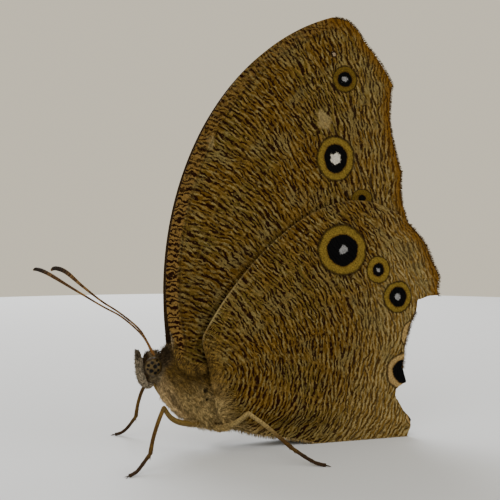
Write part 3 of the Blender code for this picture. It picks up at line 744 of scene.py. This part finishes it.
def makeWing(word, kind, wing, look):
    side = sides[word]
    costa, edge, inner, base = wingSides(wing)

    def flatAt(u, v):
        # a patch between the four sides; v stops just short of the outer edge, for the fringe
        v = v * wing["inset"]
        c, n = spaced(costa, v), spaced(inner, v)
        b, e = spaced(base, u), spaced(edge, u)
        u, v = u[:, None], v[:, None]
        corners = [(1 - v) * line[0] + v * line[-1] for line in (costa, inner)]
        return (1 - u) * c + u * n + (1 - v) * b + v * e - (1 - u) * corners[0] - u * corners[1]

    def toPlace(u, v):
        flat = flatAt(u, v)
        depth = wingDepth(flat, wing["layer"]) - wingStack["pleat"] * wingRelief(flat, wing)[1]
        return place(np.stack([flat[:, 0], side * depth, flat[:, 1]], axis=1))

    made = layGrid(f"{kind}Sheet_{word}", wing["across"], wing["along"], toPlace)
    thick = made.modifiers.new("membrane", "SOLIDIFY")
    thick.thickness = wingStack["thickness"] * 0.001
    thick.offset = 0
    bpy.ops.object.modifier_apply(modifier=thick.name)
    points = meshPoints(made)
    flat = np.stack([points[:, 0] * 1000 - frameShift, points[:, 2] * 1000], axis=1)
    ridge, pleat = wingRelief(flat, wing)
    middle = wingDepth(flat, wing["layer"]) - wingStack["pleat"] * pleat
    upper = np.abs(points[:, 1] * 1000) < middle
    raised = np.where(upper, wingStack["veinUpper"], wingStack["veinUnder"])
    points[:, 1] += side * raised * ridge * 0.001
    points[:, 2] = np.maximum(points[:, 2], 0)
    made.data.vertices.foreach_set("co", points.ravel())
    setAttribute(made, "vein", ridge)
    setAttribute(made, "lie", wingLie(flat, kind))
    setAttribute(made, "costa", distanceTo(flat, costa))
    setAttribute(made, "margin", distanceTo(flat, wing.get("whole", edge)))
    hem = distanceTo(flat, inner) if kind == "hindwing" else np.full(len(flat), 9.0)
    hem = hem + 0.5 + np.maximum(flat[:, 0], 0) * 0.4
    setAttribute(made, "base", np.minimum(distanceTo(flat, base), hem))
    setAttribute(made, "upper", upper)
    outwards(made)
    made.data.materials.append(look)
    bpy.ops.object.shade_smooth_by_angle(angle=math.radians(40))
    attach(made, "root")
    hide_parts(f"{kind}_{word}")
    wing["flatAt"], wing["lines"] = flatAt, {"edge": wing.get("whole", edge), "inner": inner}
    if "tear" in wing:
        # a last stretch of whole margin is left halfway down the tear
        wing["lines"]["stub"] = np.array([(17.3, 12.7), (16.7, 11.5), (16.0, 9.2), (15.8, 7.0)])


looks = {kind: wingMaterial(f"{kind}Scales", kind) for kind in ("forewing", "hindwing")}
for word in sides:
    makeWing(word, "forewing", foreWing, looks["forewing"])
    makeWing(word, "hindwing", hindWing, looks["hindwing"])
print("wings laid")

# Body, legs and pile helpers

def unit(vectors):
    return vectors / np.maximum(np.linalg.norm(vectors, axis=-1, keepdims=True), 1e-12)


def stationAt(along):
    rows = smoothLine(body["stations"], 12)
    run = np.linspace(0, 1, len(rows))
    return np.stack([np.interp(along, run, rows[:, i]) for i in range(5)], axis=1)


def midline(s):
    return np.stack([(s[:, 0] + s[:, 2]) / 2, np.zeros(len(s)), (s[:, 1] + s[:, 3]) / 2], axis=1)


def skinAt(along, turning):
    # points of the skin in millimetres; turning 0 is the back, half a turn the belly
    s = stationAt(along)
    up = 0.5 * (1 + np.cos(turning))
    ring = 1 - 0.035 * np.exp(-(((s[:, 0] % 1.25) - 0.62) / 0.16) ** 2) * (s[:, 0] > -1.2)
    middle = midline(s)
    x = s[:, 2] + (s[:, 0] - s[:, 2]) * up
    z = s[:, 3] + (s[:, 1] - s[:, 3]) * up
    return middle + (np.stack([x, s[:, 4] * np.sin(turning), z], axis=1) - middle) * ring[:, None]


def skinFrame(along, turning):
    # the point, the way to the tail and the way out at each place of the skin
    here = skinAt(along, turning)
    behind, before = (skinAt(np.clip(along + step, 0, 1), turning) for step in (0.004, -0.004))
    tailward = unit(behind - before)
    aside = skinAt(along, turning + 0.02) - skinAt(along, turning - 0.02)
    out = unit(np.cross(aside, tailward))
    out *= np.sign(np.sum(out * (here - midline(stationAt(along))), axis=1, keepdims=True))
    return here, tailward, out


def growPile(name, roots, ways, lengths, width, patches, look, slot, droop=(0, 0, 0)):
    # a tapered three-sided tuft at each root; all in millimetres
    count = len(roots)
    first = unit(np.cross(ways, chance.normal(size=(count, 3))))
    second = np.cross(ways, first)
    lengths = np.broadcast_to(lengths, count)[:, None]
    width = np.broadcast_to(width, count)[:, None]
    curl = np.broadcast_to(np.array(droop, float), (count, 3)) * lengths
    points = np.empty((count, 7, 3))
    for i in range(3):
        angle = i * math.tau / 3
        corner = (first * math.cos(angle) + second * math.sin(angle)) * width
        points[:, i] = roots - ways * 0.05 + corner
        points[:, i + 3] = roots + ways * lengths * 0.5 + curl * 0.25 + corner * 0.75
    points[:, 6] = roots + ways * lengths + curl
    points[..., 2] = np.maximum(points[..., 2], 0.004)
    sidesOf = [(0, 2, 1), (0, 1, 4, 3), (1, 2, 5, 4), (2, 0, 3, 5), (3, 4, 6), (4, 5, 6), (5, 3, 6)]
    faces = [[7 * t + i for i in face] for t in range(count) for face in sidesOf]
    mesh = bpy.data.meshes.new(name)
    mesh.from_pydata(place(points.reshape(-1, 3)).tolist(), [], faces)
    made = bpy.data.objects.new(name, mesh)
    bpy.context.collection.objects.link(made)
    patch = np.array([(0, 0), (2, 0), (1, 1), (0, 2), (2, 2), (1, 2), (1, 3)]) * 0.001
    spots = (patches[:, None, :] * 0.995 + patch).reshape(-1, 2)
    order = np.empty(len(mesh.loops), dtype=np.int32)
    mesh.loops.foreach_get("vertex_index", order)
    mesh.uv_layers.new(name="OFBake").data.foreach_set("uv", spots[order].ravel())
    setAttribute(made, "tint", np.repeat(chance.random(count), 7))
    mesh.shade_smooth()
    mesh.materials.append(look)
    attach(made, "root")
    return made


def growTube(name, line, around, along):
    # a closed tube laid on rows of x, y, z, radius in millimetres
    line = spaced(np.array(line, float), np.linspace(0, 1, along + 2))
    path, radii = line[:, :3], line[:, 3].copy()
    ways = unit(np.gradient(path, axis=0))
    first = np.cross(ways[0], (0.13, 0.21, 1.0))
    firsts = []
    for way in ways:
        first = first - way * (first @ way)
        first = first / np.linalg.norm(first)
        firsts.append(first)
    firsts = np.array(firsts)
    seconds = np.cross(ways, firsts)
    radii[[0, -1]] = 0

    def toPlace(u, v):
        row = np.round(v * (along + 1)).astype(int)
        angle = (u * math.tau)[:, None]
        ring = (firsts[row] * np.cos(angle) + seconds[row] * np.sin(angle)) * radii[row][:, None]
        points = path[row] + ring
        points[:, 2] = np.maximum(points[:, 2], 0)
        return place(points)

    made = layGrid(name, around, along, toPlace)
    outwards(made)
    bpy.ops.object.shade_smooth_by_angle(angle=math.radians(50))
    return made


def joinInto(made, extra):
    deselectAll()
    extra.select_set(True)
    made.select_set(True)
    bpy.context.view_layer.objects.active = made
    bpy.ops.object.join()


def withRadii(points, radii):
    # a smooth line through the points with its radius as a fourth column
    line = smoothLine(points, 10)
    grown = np.interp(np.linspace(0, 1, len(line)), np.linspace(0, 1, len(radii)), radii)
    return np.hstack([line, grown[:, None]])


def brushOn(name, line, hair, look, slot, share=1.0):
    # hairs along a tube's first share, lying the way it runs; "front" lengthens those on its front edge
    tufts, front = hair["tufts"], hair.get("front", 0.0)
    along, angle = chance.random(tufts) * share, chance.uniform(0, math.tau, tufts)
    at = spaced(line, along)
    ways = unit(runAt(line, along, 0.02)[:, :3])
    first = unit(np.cross(ways, (0, 1.0, 0)))
    out = first * np.cos(angle)[:, None] + np.cross(ways, first) * np.sin(angle)[:, None]
    ahead = np.clip(-out[:, 0], 0, 1) * front
    lengths = (hair["length"] + ahead) * chance.uniform(0.6, 1.35, tufts)
    ways = unit(ways + out * (hair["spread"] + ahead)[:, None] + chance.normal(0, 0.14, out.shape))
    patches = np.stack([along, angle / math.tau], axis=1)
    growPile(name, at[:, :3] + out * at[:, 3:] * 0.95, ways, lengths, hair["width"], patches, look, slot)


def nearestOn(line, made):
    # the row of a line that lies nearest to each point of a piece
    points = meshPoints(made) * 1000 - (frameShift, 0, 0)
    return [np.linalg.norm(line[:, :3] - p, axis=1).argmin() for p in points]


def mirrored(points, side):
    points = np.array(points, float)
    points[..., 1] *= side
    return points


def woolMaterial(name, fixedTint=None):
    made, tree, shader = newMaterial(name, 0.85)
    where = millimetres(tree)
    tint = attribute(tree, "tint") if fixedTint is None else fixedTint
    paint(tree, shader, useGroup(tree, woolTone, Place=where, Tint=tint)["Colour"])
    if fixedTint is not None:
        bump(tree, shader, noise(tree, where, 9.0, 3.0, 0.6), 0.5, 0.00008)
    return made


woolLook = woolMaterial("wool")


def toSkin(u, v):
    return place(skinAt(v, (u - 0.5) * math.tau))


skin = layGrid("bodySkin", body["around"], body["along"], toSkin)
skin.data.uv_layers[0].name = "OFBake"
lump = bpy.data.textures.new("skinLumps", "CLOUDS")
lump.noise_scale = 0.0006
lumps = skin.modifiers.new("lumps", "DISPLACE")
lumps.texture = lump
lumps.strength = 0.00008
lumps.mid_level = 0.5
bpy.ops.object.modifier_apply(modifier=lumps.name)
outwards(skin)
skin.data.materials.append(woolMaterial("skin", 0.15))
bpy.ops.object.shade_smooth_by_angle(angle=math.radians(60))
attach(skin, "root")
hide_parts("head", "thorax", "abdomen")

# Eyes: olive, with the dark spots of the facets, each by its x, z and size
eye = {
    "centre": (-9.88, 0.92, 8.24),
    "radii": (0.86, 0.6, 0.9),
    "olive": (0.098, 0.068, 0.026),
    "brown": (0.044, 0.027, 0.009),
    "dark": (0.001, 0.0008, 0.0005),
    "edge": (0.016, 0.009, 0.003),
    "spots": [
        (0.1, 0.12, 0.17), (0.44, 0.28, 0.12), (-0.16, 0.46, 0.13), (-0.5, 0.22, 0.12),
        (-0.24, -0.28, 0.16), (0.42, -0.26, 0.12), (0.14, -0.5, 0.14), (-0.58, -0.12, 0.09),
        (0.3, 0.62, 0.09),
    ],
}
# The wool's tufts: picked from tries spread over the skin, kept off the eyes, leaning together in locks
coat = {
    "tries": 60000, "tufts": 19000, "width": 0.022, "spread": 0.22, "eyeRoom": 1.08, "lock": 0.42,
    "lockTurns": [[4.9, 1.1, 3.0], [2.1, 4.6, -3.5], [-2.7, 1.8, 5.9]], "lockStarts": (0.3, 1.9, 4.0),
}


def growCoat():
    tries = coat["tries"]
    along, turning = chance.random(tries), chance.uniform(-math.pi, math.pi, tries)
    s = stationAt(along)
    run = np.linalg.norm(skinAt(along + 0.002, turning) - skinAt(along - 0.002, turning), axis=1)
    girth = (np.hypot(s[:, 0] - s[:, 2], s[:, 1] - s[:, 3]) + 2 * s[:, 4]) / 4
    # the abdomen is hidden between the wings and needs fewer
    share = run * girth * np.where(s[:, 0] > -1, 0.5, 1)
    picked = chance.choice(tries, coat["tufts"], replace=False, p=share / share.sum())
    along, turning = along[picked], turning[picked]
    roots, tailward, out = skinFrame(along, turning)
    away = (np.abs(roots) * (-1, 1, 1) - np.array(eye["centre"])) / eye["radii"]
    free = np.linalg.norm(away, axis=1) > coat["eyeRoom"]
    along, turning, roots, tailward, out = (a[free] for a in (along, turning, roots, tailward, out))
    x, z = roots[:, 0], roots[:, 2]
    head = 1 / (1 + np.exp((x + 9.1) / 0.12))
    nape = np.exp(-((x + 8.75) / 0.5) ** 2 - ((z - 9.7) / 0.6) ** 2)
    chest = np.clip((9 - z) / 4, 0, 1) * (x > -9) * (x < -2)
    down = np.stack([0 * x, 0 * x, -chest * 0.55], axis=1)
    crown = head * np.exp(-((z - 9.6) / 0.4) ** 2)
    lift = 0.42 + 0.1 * head + 0.7 * nape + 0.9 * crown
    lock = np.sin(roots @ np.array(coat["lockTurns"]) + coat["lockStarts"])
    down = down + lock * coat["lock"] * (x < -1)[:, None]
    ways = unit(tailward * (1 - 0.7 * nape)[:, None] + down + out * lift[:, None]
                + chance.normal(0, coat["spread"], roots.shape) * (1 + nape + crown)[:, None])
    lengths = 0.42 - 0.2 * head + 0.34 * nape + 0.3 * crown + 0.16 * chest - 0.12 * (x > -1)
    growPile(
        "bodyWool", roots, ways, lengths * chance.uniform(0.6, 1.3, len(x)), coat["width"],
        np.stack([turning / math.tau + 0.5, along], axis=1), woolLook, "body", (0.1, 0, -0.12),
    )


growCoat()
print("body and wool made")


def eyeMaterial():
    made, tree, shader = newMaterial("eyeGloss", 0.3)
    where = millimetres(tree)
    (eyeX, _, eyeZ), (long, _, tall) = eye["centre"], eye["radii"]
    cloud = noise(tree, where, 3.0, 3.0)
    colour = mix(tree, ramp(tree, cloud, 0.35, 0.65), eye["olive"], eye["brown"])
    for x, z, size in eye["spots"]:
        away = distanceFrom(tree, where, (eyeX + x, 0, eyeZ + z), (1, 0, 1))
        colour = layOn(tree, colour, eye["dark"], away, size * 1.35, size * 0.95)
    edge = distanceFrom(tree, where, (eyeX, 0, eyeZ), (1 / long, 0, 1 / tall))
    colour = layOn(tree, colour, eye["edge"], edge, 0.8, 0.97, 0.8)
    paint(tree, shader, colour)
    facets = tree.nodes.new("ShaderNodeTexVoronoi")
    link(tree, where, facets.inputs["Vector"])
    facets.inputs["Scale"].default_value = 22.0
    bump(tree, shader, facets.outputs["Distance"], 0.25, 0.00003)
    return made


eyeLook = eyeMaterial()
for word, side in sides.items():
    deselectAll()
    bpy.ops.mesh.primitive_uv_sphere_add(segments=64, ring_count=40, radius=1)
    ball = bpy.context.object
    ball.name = f"eyeball_{word}"
    flat = meshPoints(ball) * eye["radii"]
    # a little squarer than a ball, and flatter behind
    flat[:, 0] *= 1 - 0.06 * np.sign(flat[:, 0]) * (flat[:, 2] / eye["radii"][2]) ** 2
    points = place(flat + np.array(eye["centre"]) * (1, side, 1))
    ball.data.vertices.foreach_set("co", points.ravel())
    ball.data.materials.append(eyeLook)
    bpy.ops.object.shade_smooth()
    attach(ball, "root")
    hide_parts(f"eye_{word}")

# Palps: two scaled blades up the face
palp = {
    "line": [(-9.8, 0.42, 6.55), (-10.3, 0.46, 6.42), (-10.7, 0.47, 6.8), (-10.9, 0.46, 7.5),
             (-11.00, 0.45, 8.2), (-11.08, 0.42, 8.9), (-11.2, 0.4, 9.62)],
    "radii": [0.14, 0.27, 0.33, 0.34, 0.31, 0.23, 0.06],
    "pale": (0.3, 0.25, 0.175),
    "tip": (0.11, 0.085, 0.055),
    "hair": {"tufts": 1500, "length": 0.17, "spread": 0.42, "width": 0.03, "front": 0.16},
}
palpLook, tree, shader = newMaterial("palpScales", 0.85)
tipShare = ramp(tree, xAndZ(tree, millimetres(tree))[1], 8.6, 9.3)
tone = mix(tree, tipShare, palp["pale"], palp["tip"])
paint(tree, shader, shaded(tree, tone, ramp(tree, attribute(tree, "tint"), 0.15, 0.95, 0.22, 1.35)))
for word, side in sides.items():
    line = withRadii(mirrored(palp["line"], side), palp["radii"])
    blade = growTube(f"palpBlade_{word}", line, 18, 60)
    blade.data.materials.append(palpLook)
    setAttribute(blade, "tint", chance.uniform(0.1, 0.8, len(blade.data.vertices)))
    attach(blade, "root")
    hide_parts(f"palp_{word}")
    brushOn(f"palpBrush_{word}", line, palp["hair"], palpLook, "palps")

# Feelers: thin ringed shafts that swell into a club
feelers = {
    "left": [(-9.72, 0.42, 9.2), (-10.36, 0.56, 10.5), (-11.23, 0.91, 11.86), (-12.99, 1.64, 13.39),
             (-14.77, 2.38, 14.62), (-16.5, 3.22, 16.05), (-17.91, 3.98, 17.31), (-18.81, 4.4, 17.68),
             (-19.21, 4.6, 17.47)],
    "right": [(-9.72, 0.42, 9.2), (-10.28, 0.52, 10.42), (-11.09, 0.79, 11.48), (-12.66, 1.34, 12.84),
              (-14.41, 1.92, 13.83), (-17.03, 2.86, 15.46), (-19.22, 3.68, 16.84), (-20.28, 4.06, 17.29),
              (-20.68, 4.2, 17.17)],
    "radii": [0.17, 0.11, 0.095, 0.09, 0.088, 0.09, 0.095, 0.13, 0.19, 0.21, 0.18, 0.05],
    "club": 0.22,
    "ring": (0.055, 0.024, 0.006),
    "paleRing": (0.165, 0.088, 0.028),
    "foot": (0.19, 0.085, 0.022),
    "dark": (0.016, 0.01, 0.007),
    "tip": (0.1, 0.05, 0.02),
}


def feelerMaterial():
    # pale and dark rings, a dark club and a tan tip
    made, tree, shader = newMaterial("feelerRings", 0.5)
    run, club = attribute(tree, "run"), attribute(tree, "club")
    wave = mathNode(tree, "SINE", times(tree, run, 22.0))
    colour = mix(tree, ramp(tree, wave, -0.2, 0.6), feelers["ring"], feelers["paleRing"])
    colour = layOn(tree, colour, feelers["foot"], run, 2.5, 0.5)
    colour = layOn(tree, colour, feelers["dark"], club, 0.2, 0.8)
    colour = layOn(tree, colour, feelers["tip"], club, 0.93, 0.99)
    paint(tree, shader, colour)
    bump(tree, shader, wave, 0.4, 0.00002)
    return made


feelerLook = feelerMaterial()
for word, side in sides.items():
    line = withRadii(mirrored(feelers[word], side), feelers["radii"])
    shaft = growTube(f"feeler_{word}", line, 12, 260)
    steps = np.concatenate([[0], np.cumsum(np.linalg.norm(np.diff(line[:, :3], axis=0), axis=1))])
    run = steps[nearestOn(line, shaft)]
    setAttribute(shaft, "run", run)
    setAttribute(shaft, "club", np.clip(1 - (1 - run / steps[-1]) / feelers["club"], 0, 1))
    shaft.data.materials.append(feelerLook)
    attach(shaft, "root")
    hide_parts(f"antenna_{word}")
print("head made")

# Legs: thigh, shin and jointed foot, with spines, spurs and claws


def besideThorax(share, degrees, lift):
    # a place lifted off the chest, at a share of the thorax and an angle from its top
    line = smoothLine(solidStations[:8], 10)
    s = line[round(share * (len(line) - 1))]
    angle = math.radians(degrees)
    half = math.hypot(s[0] - s[2], s[1] - s[3]) / 2
    out = unit(np.array((math.sin(angle) / s[4], math.cos(angle) / half)))
    up = (math.cos(angle) + lift * out[1] / half) / 2
    x = (s[0] + s[2]) / 2 + up * (s[0] - s[2])
    return x, s[4] * math.sin(angle) + lift * out[0], (s[1] + s[3]) / 2 + up * (s[1] - s[3])


legs = {
    "thigh": (0.135, 0.085, 0.02),
    "hindThigh": (0.235, 0.17, 0.064),
    "shin": (0.056, 0.026, 0.003),
    "paleShin": (0.105, 0.058, 0.009),
    "foot": (0.03, 0.014, 0.004),
    "femurRadii": [0.22, 0.26, 0.27, 0.24, 0.2],
    "tibiaRadii": [0.2, 0.19, 0.18, 0.18, 0.21],
    "spine": {"tibia": 0.17, "tarsus": 0.12, "width": 0.022},
    "spur": {"length": 0.48, "width": 0.045},
    "claw": {"length": 0.46, "width": 0.06},
    "middleHair": {"tufts": 200, "length": 0.3, "spread": 0.35, "width": 0.024, "reach": 0.34},
    "hindHair": {"tufts": 700, "length": 0.3, "spread": 0.35, "width": 0.024, "reach": 0.6},
    "middle_left": {
        "side": -1, "hip": (0.6, 150),
        "femur": [(-7.45, 2.7, 3.25), (-8.62, 3.36, 3.95), (-9.42, 4.2, 5.1)],
        "tibia": [(-9.42, 4.2, 5.1), (-10.05, 4.9, 4.00), (-10.57, 5.4, 2.7), (-10.87, 5.8, 1.55)],
        "tarsus": [(-10.87, 5.8, 1.55), (-11.56, 6.2, 0.83), (-12.15, 6.6, 0.33), (-12.85, 7.00, 0.13)],
        "claws": (-13.45, 7.3, 0.06),
    },
    "middle_right": {
        "side": 1, "hip": (0.6, 150),
        "femur": [(-7.35, 2.7, 3.6), (-8.4, 3.45, 4.75), (-9.2, 4.3, 6.1)],
        "tibia": [(-9.2, 4.3, 6.1), (-9.95, 4.95, 5.2), (-10.42, 5.4, 3.7), (-10.62, 5.8, 2.15)],
        "tarsus": [(-10.62, 5.8, 2.15), (-11.34, 6.35, 1.00), (-11.95, 6.85, 0.35), (-12.6, 7.15, 0.13)],
        "claws": (-13.1, 7.35, 0.06),
    },
    "hind_left": {
        "side": -1, "hip": (0.76, 150),
        "femur": [(-3.55, 2.6, 2.45), (-2.58, 3.45, 3.1), (-1.62, 4.4, 4.15)],
        "tibia": [(-1.62, 4.4, 4.15), (-0.25, 5.4, 3.15), (0.8, 6.35, 2.2), (1.7, 7.1, 1.4)],
        "tarsus": [(1.7, 7.1, 1.4), (2.61, 7.7, 0.78), (3.45, 8.3, 0.31), (4.32, 8.8, 0.13)],
        "claws": (5.06, 9.2, 0.06),
    },
}
legs["hind_right"] = dict(legs["hind_left"], side=1)


def legMaterial():
    made, tree, shader = newMaterial("legScales", 0.6)
    where = millimetres(tree)
    fine = noise(tree, where, 8.0, 3.0, 0.7)
    cloud = noise(tree, where, 1.3, 2.0)
    run = attribute(tree, "run")
    colour = mix(tree, ramp(tree, cloud, 0.35, 0.65), legs["shin"], legs["paleShin"])
    behind = ramp(tree, xAndZ(tree, where)[0], -5.0, -4.0)
    thigh = mix(tree, behind, legs["thigh"], legs["hindThigh"])
    upper = minus(tree, run, times(tree, behind, 0.4))
    colour = layOn(tree, colour, thigh, upper, 1.4, 0.8)
    colour = layOn(tree, colour, legs["foot"], run, 1.9, 2.35)
    paint(tree, shader, shaded(tree, colour, ramp(tree, fine, 0.3, 0.7, 0.45, 1.5)))
    bump(tree, shader, fine, 0.4, 0.00003)
    return made


legLook = legMaterial()
for word in ("middle_left", "middle_right", "hind_left", "hind_right"):
    leg, side = legs[word], legs[word]["side"]
    hip = [besideThorax(*leg["hip"], lift) for lift in (-0.7, 0.0)]
    femur = withRadii(mirrored([*hip, *leg["femur"]], side), legs["femurRadii"])
    tibia = withRadii(mirrored(leg["tibia"], side), legs["tibiaRadii"])
    # five joints, each a little wider at its end
    tarsus = withRadii(mirrored(leg["tarsus"], side), [0.13])
    run = np.linspace(0, 1, len(tarsus))
    tarsus[:, 3] = 0.165 - 0.02 * run + 0.03 * ((run * 5) % 1) ** 2
    shank = growTube(f"{word}_leg", np.vstack([femur, tibia[1:], tarsus[1:]]), 16, 240)
    hair = legs["hindHair" if "hind" in word else "middleHair"]
    brushOn(f"{word}_thighWool", femur, hair, woolLook, "legs", hair["reach"])
    foot = tarsus[-1, :3]
    # root, way, length and width of each
    spines = []
    for part, size in ((tibia, legs["spine"]["tibia"]), (tarsus, legs["spine"]["tarsus"])):
        ways = unit(np.gradient(part[:, :3], axis=0))
        below = unit(np.cross(ways, np.cross((0, 0, -1.0), ways)))
        beside = np.cross(ways, below)
        for i in range(2, len(part) - 1, 2):
            for hand in (-1, 1):
                out = unit(below[i] * 0.8 + beside[i] * hand * 0.7)
                root, way = part[i, :3] + out * part[i, 3] * 0.8, unit(out * 0.7 + ways[i] * 0.8)
                spines.append((root, way, size * chance.uniform(0.7, 1.2), legs["spine"]["width"]))
    ways = unit(np.gradient(tibia[:, :3], axis=0))
    for hand in (-1, 1):
        out = unit(np.array((0.1, hand * 0.8, -0.8)))
        root, way = tibia[-1, :3] + out * 0.12, unit(out * 0.6 + ways[-1])
        spines.append((root, way, *legs["spur"].values()))
        # the pair of claws
        towards = unit(mirrored(leg["claws"], side) - foot)
        way = unit(towards + np.array((towards[1], -towards[0], 0.25)) * hand * 0.35)
        spines.append((foot + towards * 0.02, way, *legs["claw"].values()))
    columns = [np.array(column) for column in zip(*spines)]
    pile = growPile(f"{word}_spines", *columns, np.zeros((len(spines), 2)), legLook, "legs", (0, 0, -0.12))
    shank.data.materials.append(legLook)
    shank.data.uv_layers[0].name = "OFBake"
    joinInto(shank, pile)
    # thigh 0 to 1, shin 1 to 2, foot 2 to 3
    line = np.vstack([femur, tibia, tarsus])
    run = np.concatenate([np.linspace(i, i + 1, len(part)) for i, part in enumerate((femur, tibia, tarsus))])
    setAttribute(shank, "run", run[nearestOn(line, shank)])
    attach(shank, "root")
    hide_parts(f"{word}_femur", f"{word}_tibia", f"{word}_tarsus")

# The small forelegs, folded against the chest under a brush of hair
foreleg = {
    "radii": [0.12, 0.19, 0.22, 0.21, 0.17, 0.08],
    "lifts": [-0.1, 0.15, 0.25, 0.25, 0.2, 0.1],
    "hair": {"tufts": 900, "length": 0.34, "spread": 0.28, "width": 0.024},
}
for word, side in sides.items():
    path = [besideThorax(0.04 + 0.09 * i, 146, lift) for i, lift in enumerate(foreleg["lifts"])]
    path = mirrored(path, side)
    line = withRadii(path, foreleg["radii"])
    folded = growTube(f"foreleg_{word}_limb", line, 14, 60)
    folded.data.materials.append(woolLook)
    setAttribute(folded, "tint", np.full(len(folded.data.vertices), 0.7))
    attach(folded, "root")
    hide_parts(f"foreleg_{word}")
    brushOn(f"forelegBrush_{word}", line, foreleg["hair"], woolLook, "legs")
print("legs made")

# Down at the wings' roots and fringes along their edges
hairs = {
    "hindwing": {"down": 1500, "reach": 0.13, "length": 0.65, "rim": 900},
    "forewing": {"down": 400, "reach": 0.03, "length": 0.5, "rim": 350},
    "rimLength": 0.55,
    "width": 0.026,
}
# per edge: hand, length on the hindwing, length on the forewing, inset
fringes = {
    "edge": (1, 0.3, 0.2, 0.1),
    "inner": (-1, 0.36, 0.15, 0.05),
    "stub": (1, 0.38, 0.2, 0.26),
}
fringe = {"step": 0.02, "width": 0.023, "dark": (0.03, 0.014, 0.003), "pale": (0.12, 0.072, 0.022)}
fringeLook, tree, shader = newMaterial("fringe", 0.85)
paint(tree, shader, mix(tree, attribute(tree, "tint"), fringe["dark"], fringe["pale"]))


def onWing(flat, wing, side, lift=0.0):
    # places on a wing's outer face
    depth = wingDepth(flat, wing["layer"]) + wingStack["thickness"] / 2 + lift
    return np.stack([flat[:, 0], side * depth, flat[:, 1]], axis=1)


def growDown(word, kind, wing):
    side, size = sides[word], hairs[kind]
    u = chance.random(size["down"])
    v = chance.random(size["down"]) ** 1.4 * size["reach"]
    roots = onWing(wing["flatAt"](u, v), wing, side)
    ways = unit(onWing(wing["flatAt"](u, v + 0.01), wing, side) - roots)
    ways = unit(ways + (0, side * 0.16, -0.12) + chance.normal(0, 0.15, ways.shape))
    lengths = size["length"] * (1 - 0.5 * v / size["reach"]) * chance.uniform(0.6, 1.2, len(v))
    # hairs that hide the root's own edge
    rimU, rimV = chance.random(size["rim"]), np.zeros(size["rim"])
    rimRoots = onWing(wing["flatAt"](rimU, rimV), wing, side, -0.06)
    rimWays = rimRoots - onWing(wing["flatAt"](rimU, rimV + 0.01), wing, side)
    rimWays = unit(unit(rimWays) * 0.5 + (0.1, side * 0.25, -0.75) + chance.normal(0, 0.2, rimWays.shape))
    lengths = np.concatenate([lengths, hairs["rimLength"] * chance.uniform(0.6, 1.2, size["rim"])])
    patches = np.stack([np.concatenate([u, rimU]), np.concatenate([v, rimV])], axis=1)
    growPile(f"{kind}Down_{word}", np.vstack([roots, rimRoots]), np.vstack([ways, rimWays]), lengths,
             hairs["width"], patches, woolLook, f"{kind}s", (0.12, -0.05 * side, -0.1))


def growFringe(word, kind, wing):
    side = sides[word]
    for name, line in wing["lines"].items():
        hand, hindSize, foreSize, inset = fringes[name]
        size = foreSize if kind == "forewing" else hindSize
        total = np.linalg.norm(np.diff(line, axis=0), axis=1).sum()
        shares = np.sort(chance.random(int(total / fringe["step"])))
        at = spaced(line, shares)
        ahead = unit(runAt(line, shares, 0.004))
        out = np.stack([-ahead[:, 1], ahead[:, 0]], axis=1) * hand
        root = onWing(at - out * inset, wing, side, -wingStack["thickness"] * 0.5)
        root[:, 1] += chance.uniform(-0.05, 0.05, len(at))
        way = np.stack([out[:, 0], 0 * shares, out[:, 1]], axis=1)
        way += np.stack([ahead[:, 0], 0 * shares, ahead[:, 1]], axis=1) * 0.25
        way = unit(way + chance.normal(0, 0.11, way.shape))
        look = woolLook if name == "inner" else fringeLook
        lengths = size * chance.uniform(0.6, 1.25, len(at))
        patches = (root[:, [0, 2]] + (12, 2)) / 48
        growPile(f"{kind}Fringe_{name}_{word}", root, way, lengths, fringe["width"], patches, look,
                 f"{kind}s")


for word in sides:
    for kind, wing in (("forewing", foreWing), ("hindwing", hindWing)):
        growDown(word, kind, wing)
        growFringe(word, kind, wing)
print("down and fringes made")

# Camera: the photograph's height, distance and framing
view = {"turn": 16.0, "height": 20.1, "distance": 73.9, "aimX": -0.2, "lens": 54.2, "shiftY": -0.02}
turn = math.radians(view["turn"])
eyeX = view["aimX"] + frameShift - math.sin(turn) * view["distance"]
deselectAll()
bpy.ops.object.camera_add(
    location=(eyeX * 0.001, -math.cos(turn) * view["distance"] * 0.001, view["height"] * 0.001),
    rotation=(math.radians(90), 0, -turn),
)
camera = bpy.context.object
camera.data.lens = view["lens"]
camera.data.shift_y = view["shiftY"]
camera.data.clip_start = 0.001
bpy.context.scene.camera = camera

# Floor and light; each lamp with its place, size, power and colour
deselectAll()
bpy.ops.mesh.primitive_circle_add(vertices=160, radius=0.21, fill_type="NGON", location=(0, 0, 0))
floor = bpy.context.object
floor.name = "floor"
floorLook, tree, shader = newMaterial("paleFloor", 0.9)
shader.inputs["Base Color"].default_value = (0.65, 0.675, 0.72, 1)
floor.data.materials.append(floorLook)

lights = [
    ("key", (-0.2, -0.3, 0.34), 0.3, 0.8, (1.0, 0.985, 0.96)),
    ("fill", (0.26, -0.2, 0.12), 0.25, 0.35, (0.95, 0.97, 1.0)),
    ("back", (-0.02, 0.26, 0.25), 0.25, 1.3, (1.0, 1.0, 1.0)),
]
for name, where, size, power, colour in lights:
    deselectAll()
    aim = (Vector((0, 0, 0.018)) - Vector(where)).to_track_quat("-Z", "Y").to_euler()
    bpy.ops.object.light_add(type="AREA", location=where, rotation=aim)
    lamp = bpy.context.object
    lamp.name = name
    lamp.data.size = size
    lamp.data.energy = power
    lamp.data.color = colour
    lamp.visible_camera = False
world = bpy.data.worlds.new("softLight")
world.use_nodes = True
world.node_tree.nodes["Background"].inputs["Color"].default_value = (0.8, 0.73, 0.575, 1)
world.node_tree.nodes["Background"].inputs["Strength"].default_value = 0.95
bpy.context.scene.world = world
print("camera, floor and light set")
